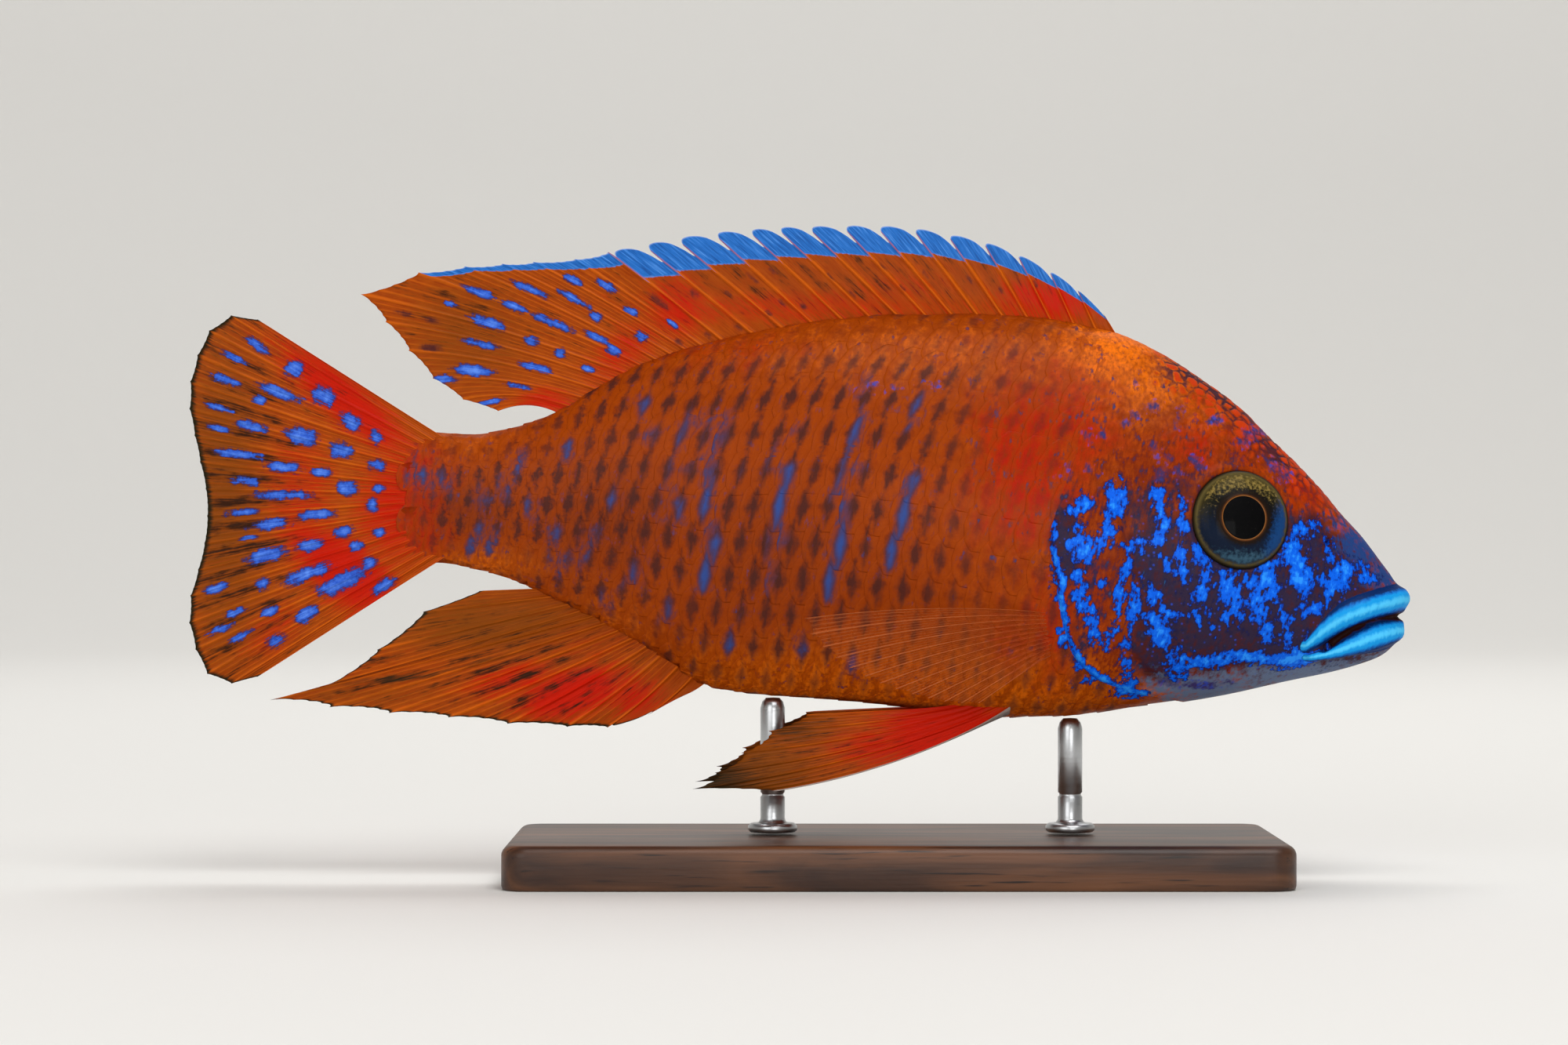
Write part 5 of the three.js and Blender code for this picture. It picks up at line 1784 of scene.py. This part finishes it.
@dataclass(frozen=True)
class FinSet:
    """All the fins, from the same measures as the solids."""

    root_depth: float = 1.6

    def dorsal(self) -> Fin:
        """The dorsal fin: sixteen spines with flag-like webs, then eleven soft rays."""
        spines, soft = 16, 11
        flags = [
            (34.6, 46.6), (31.7, 49.3), (28.5, 51.4), (24.8, 53.3), (20.9, 54.7), (16.8, 55.5), (12.8, 56.2),
            (8.7, 56.4), (4.8, 56.4), (0.8, 56.3), (-2.7, 56.2), (-6, 55.9), (-10, 55.6), (-14.2, 54.9),
            (-17.9, 54.2), (-21.8, 53.4),
        ]
        top = [(-25.6, 52.6), (-30.4, 52.3), (-34, 52.1), (-38.3, 51.8), (-43.6, 51.1), (-50.2, 48.6)]
        rear = [(-50.2, 48.6), (-46.3, 44.2), (-42.4, 39.4), (-38.6, 36.6), (-34.4, 35.2)]
        tips = np.vstack([flags, top, evenly_spaced(rear, 6)[1:]])
        rays = []
        for j, (tip_x, tip_z) in enumerate(tips):
            far = max(0.0, (j - spines + 1) / soft)
            u = j / (spines - 1)
            x = 35.6 - 44.1 * u + 2.2 * math.sin(math.pi * u) if j < spines else -10.8 - 18 * (far - 1 / soft)
            root = np.array([x + 0.8 * self.root_depth, 0, FORM.back(x) - self.root_depth])
            tip = np.array([tip_x, 1.2 * math.sin(math.pi * far), tip_z])
            rays.append(Ray(root, tip, (0, 0.15 * far, 0.15 + 1.1 * far)))
        return Fin(
            "dorsal", "dorsal_fin", rays, spines=spines, tipped=2.2,
            red=patches(
                (29, 48, 7, 3, 0.75), (-14, 47, 4, 4, 0.7, 40), (0, 47, 24, 2.2, 0.5),
                (-20, 42, 6, 3, 0.6, 40), (-29, 36, 4, 2, 0.7), (12, 49, 8, 3, 0.4),
            ),
            brown=patches((-38, 44, 9, 8, 0.7), (-10, 51, 9, 3, 0.4)),
            streaked=patches(
                (0, 50, 22, 4, 0.55), (20, 51, 12, 3, 0.5), (-25, 47, 14, 6, 0.4), (-40, 48, 9, 4, 0.5),
            ),
            spots=(
                (-35.5, 45.3, 4.2, 1.3), (-36.4, 42.9, 4.2, 1), (-37.3, 39.8, 4.5, 1.4),
                (-40.3, 38.8, 2.9, 1.1), (-30.6, 43.1, 1.9, 1.3), (-27.3, 41.9, 1.5, 1.3),
                (-30.1, 40.2, 3.5, 1), (-32.1, 38.1, 2.9, 0.7), (-24, 40, 1.6, 0.9), (-21.1, 42.1, 1.9, 1.1),
                (-23.2, 43.7, 2.9, 1), (-23.2, 46, 1.4, 1.2), (-30.9, 49.2, 4.2, 1), (-32.6, 47.2, 3.2, 1),
                (-28.3, 45.4, 4.8, 1.1), (-36.6, 48.8, 4.2, 1), (-25.6, 48, 3.8, 0.8), (-21.9, 49.5, 2.6, 1),
                (-18.1, 43.7, 1.5, 1.3), (-35.4, 36.2, 3.5, 0.7), (-25.8, 50.2, 2.2, 0.9),
                (-39.9, 47.5, 1.9, 0.7), (-19.3, 46.7, 1.9, 0.8), (-14.5, 45.2, 1.6, 0.7),
            ),
            dark_spots=(
                (-45.3, 46.4, 2.4, 0.9), (-42.1, 45.6, 2.4, 0.9), (-42.1, 42.4, 2.8, 1),
                (-16.1, 47.8, 3.5, 1), (-12.1, 48.6, 1.6, 1.3), (-10.3, 43.8, 1.4, 1.2),
                (-13.8, 43.1, 1.6, 0.9), (-7, 44.8, 1.2, 1), (-3.5, 46.4, 1.2, 0.9), (0.5, 47.2, 1.1, 0.8),
                (6, 48.6, 1.5, 0.6), (23, 49.2, 1.4, 0.6), (27, 49.8, 1.3, 0.5), (-5.2, 50.3, 2, 0.6),
                (11.8, 49.3, 1.2, 0.6), (-3, 51.2, 1.6, 0.6), (3.5, 50.6, 1.8, 0.6), (9.5, 51.8, 1.5, 0.6),
                (14.5, 50.8, 1.5, 0.6), (-8, 48.6, 1.3, 0.7), (19.5, 50.2, 1.5, 0.6), (-2, 47.6, 1.3, 0.6),
            ),
        )

    def anal(self) -> Fin:
        """The anal fin: three spines, then soft rays drawn out to a long point."""
        spines, soft = 3, 10
        low = [(-26.5, -0.9), (-32.5, -0.6), (-41, 0.3), (-49.2, 0.9), (-60.3, 2.2)]
        rear = [(-60.3, 2.2), (-53.4, 4.1), (-47.8, 8.2), (-43, 12.2), (-36.5, 14.6)]
        tips = np.vstack([
            evenly_spaced([(-14.2, 2.4), (-17.8, 0.1), (-21.9, -1)], spines),
            evenly_spaced(low, 6),
            evenly_spaced(rear, 5)[1:],
        ])
        rays = []
        for j, (tip_x, tip_z) in enumerate(tips):
            far = max(0.0, (j - spines + 1) / soft)
            x = -10.4 - 1.7 * j if j < spines else -15.6 - 13.6 * (far - 1 / soft)
            root = np.array([x + 0.6 * self.root_depth, 0, FORM.belly(x) + self.root_depth])
            tip = np.array([tip_x, -1.1 * math.sin(math.pi * far), tip_z])
            rays.append(Ray(root, tip, (0, -0.15 * far, -0.5 * (1 - far))))
        return Fin(
            "anal", "anal_fin", rays, spines=spines, dark_edge=0.9, soft_notch=0.03,
            red=patches(
                (-26, 3, 6, 2.6, 1.1, 15), (-19, 2.5, 4, 3, 0.7), (-33, 4.5, 6, 2, 0.7, 15),
                (-24, 8, 8, 3, 0.35),
            ),
            dark=patches((-46, 4.6, 7, 0.5, 0.7, 5), (-36, 6.6, 7, 0.4, 0.6, 14), (-43, 12, 3, 2, 0.35)),
            brown=patches((-36, 11, 14, 4, 0.9), (-24, 12, 8, 3, 0.6), (-50, 3, 12, 2, 0.6)),
            streaked=patches((-32, 5, 14, 6, 0.75), (-48, 5, 10, 4, 0.7)),
        )

    def caudal(self) -> Fin:
        """The caudal fin: a fan of eighteen rays with rounded lobes."""
        line = [
            (-62, 45.7), (-65, 46.2), (-67.2, 44.9), (-69, 41.4), (-69.9, 36.8), (-69, 31.2), (-67.8, 25),
            (-68.2, 19.5), (-69.9, 12.8), (-69.3, 8.4), (-67.4, 4.7), (-64.6, 4), (-62, 4.8),
        ]
        tips = evenly_spaced(line, 18)
        roots = evenly_spaced([(-40, 31.8), (-43.4, 30), (-44.4, 25.3), (-43.4, 20.6), (-40, 18.8)], 18)
        rays = [
            Ray(np.array([x, 0, z]), np.array([tip_x, 1.1, tip_z]), (0, -0.25, 0))
            for (x, z), (tip_x, tip_z) in zip(roots, tips)
        ]
        return Fin(
            "caudal", "caudal_fin", rays, root=1.7, dark_edge=1.1, soft_notch=0.005,
            red=patches(
                (-46, 24, 5, 7, 0.75), (-52, 17, 8, 3.6, 1, -38), (-52, 36.5, 10, 2.6, 0.95, -40),
                (-57, 26, 5, 8, 0.55), (-60, 10, 5, 2.5, 0.5, 40),
            ),
            brown=patches((-66, 25, 6, 22, 0.85)),
            streaked=patches((-64, 25, 7, 24, 0.85), (-56, 36, 6, 6, 0.4)),
            spots=(
                (-57.7, 39.9, 2.1, 2.1), (-59.3, 37.3, 5.3, 1.3), (-62, 42.7, 3.1, 1.2),
                (-64.6, 41.3, 3.4, 0.9), (-65.7, 38.8, 3.4, 1.1), (-61.7, 36.4, 1.6, 1.1),
                (-54.4, 36.9, 2.6, 2.3), (-51.3, 34, 2.5, 2), (-48.3, 32.1, 1.6, 1.7), (-57, 32.4, 3.7, 2.1),
                (-52.3, 30.7, 2.5, 2), (-48.3, 29, 1.9, 1.5), (-62.7, 33.5, 4.1, 1.2),
                (-66.4, 35.6, 3.1, 0.8), (-66.3, 33.2, 2.9, 0.8), (-54.6, 28.2, 2.1, 1.2),
                (-58.8, 28.8, 4.1, 1.3), (-64.1, 30.3, 4.8, 1.1), (-51.7, 26.4, 2.4, 1.7),
                (-48, 26.3, 1.3, 1.2), (-63.4, 27.2, 3.4, 1.2), (-59.1, 25.6, 6.2, 1.2),
                (-48.8, 24.4, 1.3, 1.7), (-55.1, 23.4, 4, 1.3), (-63.9, 23.6, 3.6, 1),
                (-60.6, 22.2, 4.5, 1.4), (-62.9, 20.7, 2.1, 0.6), (-52, 21.4, 2.1, 1.5),
                (-47.9, 21.4, 1.4, 1.2), (-50.6, 19.8, 1.7, 1.2), (-56, 19.9, 3.1, 1.5),
                (-49.1, 17.9, 1.7, 1.5), (-61, 18.7, 4.3, 1.6), (-56.4, 16.5, 5.7, 1.6),
                (-52.2, 15.7, 5.5, 2.1), (-47.5, 15.2, 2.8, 1.4), (-61.3, 15.4, 1.5, 1.5),
                (-66.7, 14.9, 2.9, 1), (-56.3, 12, 2.9, 1.7), (-64.4, 12.2, 2.6, 1), (-60.5, 12.3, 2.1, 1),
                (-66.3, 10.2, 3.1, 0.9), (-59.8, 8.9, 2.2, 1.5), (-63.9, 9.4, 2.8, 0.9),
            ),
        )

    def pelvic(self) -> Fin:
        """A pelvic fin, folded back under the belly."""
        tips = [
            (-2.9, 6.1, -7.9), (-12, 6.9, -7.6), (-9.5, 6.4, -5.8), (-6.5, 5.6, -3.6), (-3.4, 4.6, -1.2),
            (0.8, 3.2, 0.6),
        ]
        rays = []
        for j, tip in enumerate(tips):
            back = j / (len(tips) - 1)
            x = 24.4 - 4.6 * back
            root = np.array([x, 2.8 - 0.7 * back, FORM.belly(x) + 1.2])
            rays.append(Ray(root, np.array(tip), (0, 0.6, -1.4 * (1 - back))))
        return Fin(
            "pelvic", "pelvic_fin", rays, root=1.5, columns=24, soft_notch=0.035, white_edge=0.12,
            red=patches((17, -2, 8, 5, 1.1), (9, -3, 6, 2.5, 0.7)),
            brown=patches((-8, -6, 9, 5, 1.3), (0, -1, 6, 3, 0.8)),
            dark=patches((-11, -7, 7, 4, 0.85), (-2, -0.5, 5, 2.5, 0.6)),
            streaked=patches((2, -3, 12, 5, 0.5)),
        )

    def pectoral(self) -> Fin:
        """A pectoral fin, a thin fan that leans out from the flank."""
        lean = 0.34
        line = [
            (0.5, 11.9), (1.4, 9.9), (3.6, 7.8), (6.2, 5.9), (9.4, 4.4), (13, 3.2), (16.6, 2.4), (20, 2.2),
        ]
        tips = evenly_spaced(line, 13)
        rays = []
        for j, (tip_x, tip_z) in enumerate(tips):
            down = j / (len(tips) - 1)
            x, z = 25.9 + 0.7 * down, 12.3 - 4.6 * down
            y = FORM.side_y(x, z)
            tip = np.array([tip_x, y + lean * (x - tip_x) + 0.6, tip_z])
            root = np.array([x + self.root_depth, y - 0.7, z + 0.1 * (1 - down)])
            rays.append(Ray(root, tip, (0, 0.5, 0.75 * (1 - down))))
        return Fin(
            "pectoral", "pectoral_fin", rays, root=1.1, film=0.08, ray_width=0.2, columns=12,
            red=patches((24, 9, 4, 4, 0.5)),
        )


# The stand


@dataclass(frozen=True)
class DisplayStand:
    """A walnut base with eased edges and two turned rods that meet the belly."""

    x: float = 11
    length: float = 88
    width: float = 38
    height: float = 5
    corner: float = 3
    ease: float = 1.2
    rod_radius: float = 1.4
    collar_radius: float = 2.8
    collar_height: float = 1
    front_x: float = 31
    rear_x: float = -3

    def base(self) -> Object:
        """Makes the base."""
        half_x, half_y = self.length / 2 - self.corner, self.width / 2 - self.corner
        outline = []
        for quarter, (sx, sy) in enumerate(((1, 1), (-1, 1), (-1, -1), (1, -1))):
            for a in np.linspace(quarter, quarter + 1, 13) * math.pi / 2:
                outline.append((sx * half_x, sy * half_y, math.cos(a), math.sin(a)))
        x, y, along, across = np.array(outline).T
        profile = [(0.5, 0), (0.12, 0.12), (0, 0.5)]
        for a in np.linspace(0, math.pi / 2, 9):
            profile.append((self.ease * (1 - math.cos(a)), self.height - self.ease + self.ease * math.sin(a)))
        rings = []
        for inset, z in profile + [(self.corner * 0.95, self.height)]:
            reach = self.corner - inset
            ring = self.x + x + reach * along, y + reach * across, 0 * x + z - BELLY_HEIGHT
            rings.append(np.column_stack(ring))
        faces = tube_faces(len(rings), len(outline))
        return make_mesh("base_board", np.vstack(rings), faces, Walnut().material())

    def rod(self, end: str, x: float, finish: Material) -> Object:
        """Makes a rod.

        Args:
            end: Which end of the stand it is at.
            x: Its place.
            finish: Its material.
        Returns:
            The rod.
        """
        low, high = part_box(f"stand_rod_{end}")
        foot, top = low.z / MM - BELLY_HEIGHT, high.z / MM - BELLY_HEIGHT
        r, c, h = self.rod_radius, self.collar_radius, self.collar_height
        profile = [(0.05, foot), (c - 0.25, foot), (c, foot + 0.2), (c, foot + h - 0.3), (c - 0.3, foot + h)]
        for a in np.linspace(0, math.pi / 2, 6):
            profile.append((r + 0.6 * (1 - math.sin(a)), foot + h + 0.6 * (1 - math.cos(a))))
        profile += [(r, foot + 4), (r - 0.15, foot + 4.15), (r - 0.15, foot + 4.4), (r, foot + 4.55)]
        profile += [(r, top - 1.4), (r - 0.2, top - 0.7), (r - 0.6, top - 0.25), (0.05, top - 0.2)]
        turns = whole_turn(48)
        rings = [
            np.column_stack([x + q * np.cos(turns), q * np.sin(turns), 0 * turns + z]) for q, z in profile
        ]
        return make_mesh(f"rod_{end}", np.vstack(rings), tube_faces(len(rings), len(turns)), finish)



# The studio


@dataclass(frozen=True)
class Studio:
    """The camera at the photograph's angle, a paper sweep and soft lights, in metres."""

    floor: float = 0.9
    curve: float = 0.8
    wall: float = 1.15
    air: float = 0.14
    lights: tuple = (
        ("key_light", (0.2, -0.5, 0.85), (0, 0, 0.04), 0.6, 4.9),
        ("fill_light", (-0.5, -0.9, 0.35), (0, 0, 0.04), 0.6, 2.4),
        ("back_light", (0.1, 0.5, 0.8), (0, 0, 0.04), 0.6, 3),
        ("paper_light", (0, 0.7, 1.5), (0, 1.7, 0.5), 1, 11),
        ("front_paper_light", (0, -0.7, 1.5), (0, -1.7, 0.5), 1, 4),
        ("low_light", (0.15, -0.8, 0.08), (0, 0, 0.05), 0.3, 1.2),
    )

    def camera(self) -> None:
        """Sets the camera so that the fish fills the frame as in the photograph."""
        data = bpy.data.cameras.new("camera")
        data.lens = LENS
        data.sensor_width = SENSOR
        data.clip_start = 0.01
        made = bpy.data.objects.new("camera", data)
        made.location = (SIGHT_LINE[0] * MM, -SIGHT_AWAY * MM, (SIGHT_LINE[1] + BELLY_HEIGHT) * MM)
        made.rotation_euler = (math.pi / 2, 0, 0)
        bpy.context.scene.collection.objects.link(made)
        bpy.context.scene.camera = made

    def sweep(self) -> None:
        """Makes the paper: a round floor that curves up to a wall on every side."""
        profile = [(0.001, 0)]
        for a in np.linspace(0, math.pi / 2, 16):
            profile.append((self.floor + self.curve * math.sin(a), self.curve * (1 - math.cos(a))))
        profile.append((self.floor + self.curve, self.wall))
        turns = whole_turn(96)
        points = np.array([(r * math.cos(a), r * math.sin(a), z) for r, z in profile for a in turns])
        faces = [face[::-1] for face in grid_faces(len(profile), len(turns), wrapped=True)]
        paper = StudioPaper().material()
        make_mesh("paper_sweep", points, faces, paper, in_place=False, closed=False)

    def light(self, name: str, place: tuple, target: tuple, size: float, watts: float) -> None:
        """Makes a soft box.

        Args:
            name: Its name.
            place: Where it is.
            target: Where it points.
            size: Its side.
            watts: Its power.
        """
        data = bpy.data.lights.new(name, "AREA")
        data.size = size
        data.energy = watts
        made = bpy.data.objects.new(name, data)
        made.location = place
        x, y, z = np.subtract(target, place)
        made.rotation_euler = (math.atan2(math.hypot(x, y), -z), 0, math.atan2(y, x) - math.pi / 2)
        bpy.context.scene.collection.objects.link(made)

    def build(self) -> None:
        """Sets the whole studio."""
        self.camera()
        self.sweep()
        for light in self.lights:
            self.light(*light)
        world = bpy.data.worlds.new("studio_air")
        world.use_nodes = True
        air = world.node_tree.nodes["Background"].inputs
        air[0].default_value = colour("#F2F2F2")
        air[1].default_value = self.air
        bpy.context.scene.world = world
        bpy.context.scene.view_settings.view_transform = "Standard"


def hand_over(piece: Object, slot: str, *nodes: str) -> None:
    """Puts a finished piece on the model in place of its solids.

    Args:
        piece: The piece.
        slot: The slot for its finish; not used.
        nodes: The solids that it stands for.
    """
    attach(piece, "root")
    if nodes:
        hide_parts(*nodes)
    log.info("%s: %d faces", piece.name, len(piece.data.polygons))


def main() -> None:
    """Builds the studio and the model, piece by piece."""
    logging.basicConfig(level=logging.INFO, format="%(message)s")
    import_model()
    Studio().build()
    covered = "head", "lower_jaw", "gill_cover_left", "gill_cover_right", "trunk", "tail_stalk"
    hand_over(Skin().build(), "skin", *covered)
    flat = Unrolled(FORM)
    scale_finish = ScaleSkin().material()
    for side in Side:
        hand_over(ScaleRows().build(side, flat, scale_finish), "skin")
    eye_finish = GlassEye().material()
    for eye in EYES:
        hand_over(eye.build(eye_finish), "eyes", eye.side.piece("eye"))
    fins = FinSet()
    fin_finish = FinSkin().material()
    for fin in (fins.dorsal(), fins.anal(), fins.caudal()):
        hand_over(fin.build(fin_finish), "fin_skin", fin.node)
    clear_finish = FinSkin(name="varnished_clear_fin", film="#9A3E12", ray="#BE6030", clear=0.1).material()
    for fin, finish in ((fins.pelvic(), fin_finish), (fins.pectoral(), clear_finish)):
        for side in Side:
            hand_over(fin.build(finish, side), "fin_skin", side.piece(fin.node))
    stand = DisplayStand()
    hand_over(stand.base(), "base_wood", "stand_base")
    steel = TurnedSteel().material()
    for end, x in (("front", stand.front_x), ("rear", stand.rear_x)):
        hand_over(stand.rod(end, x, steel), "rod_steel", f"stand_rod_{end}")


if __name__ == "__main__":
    main()
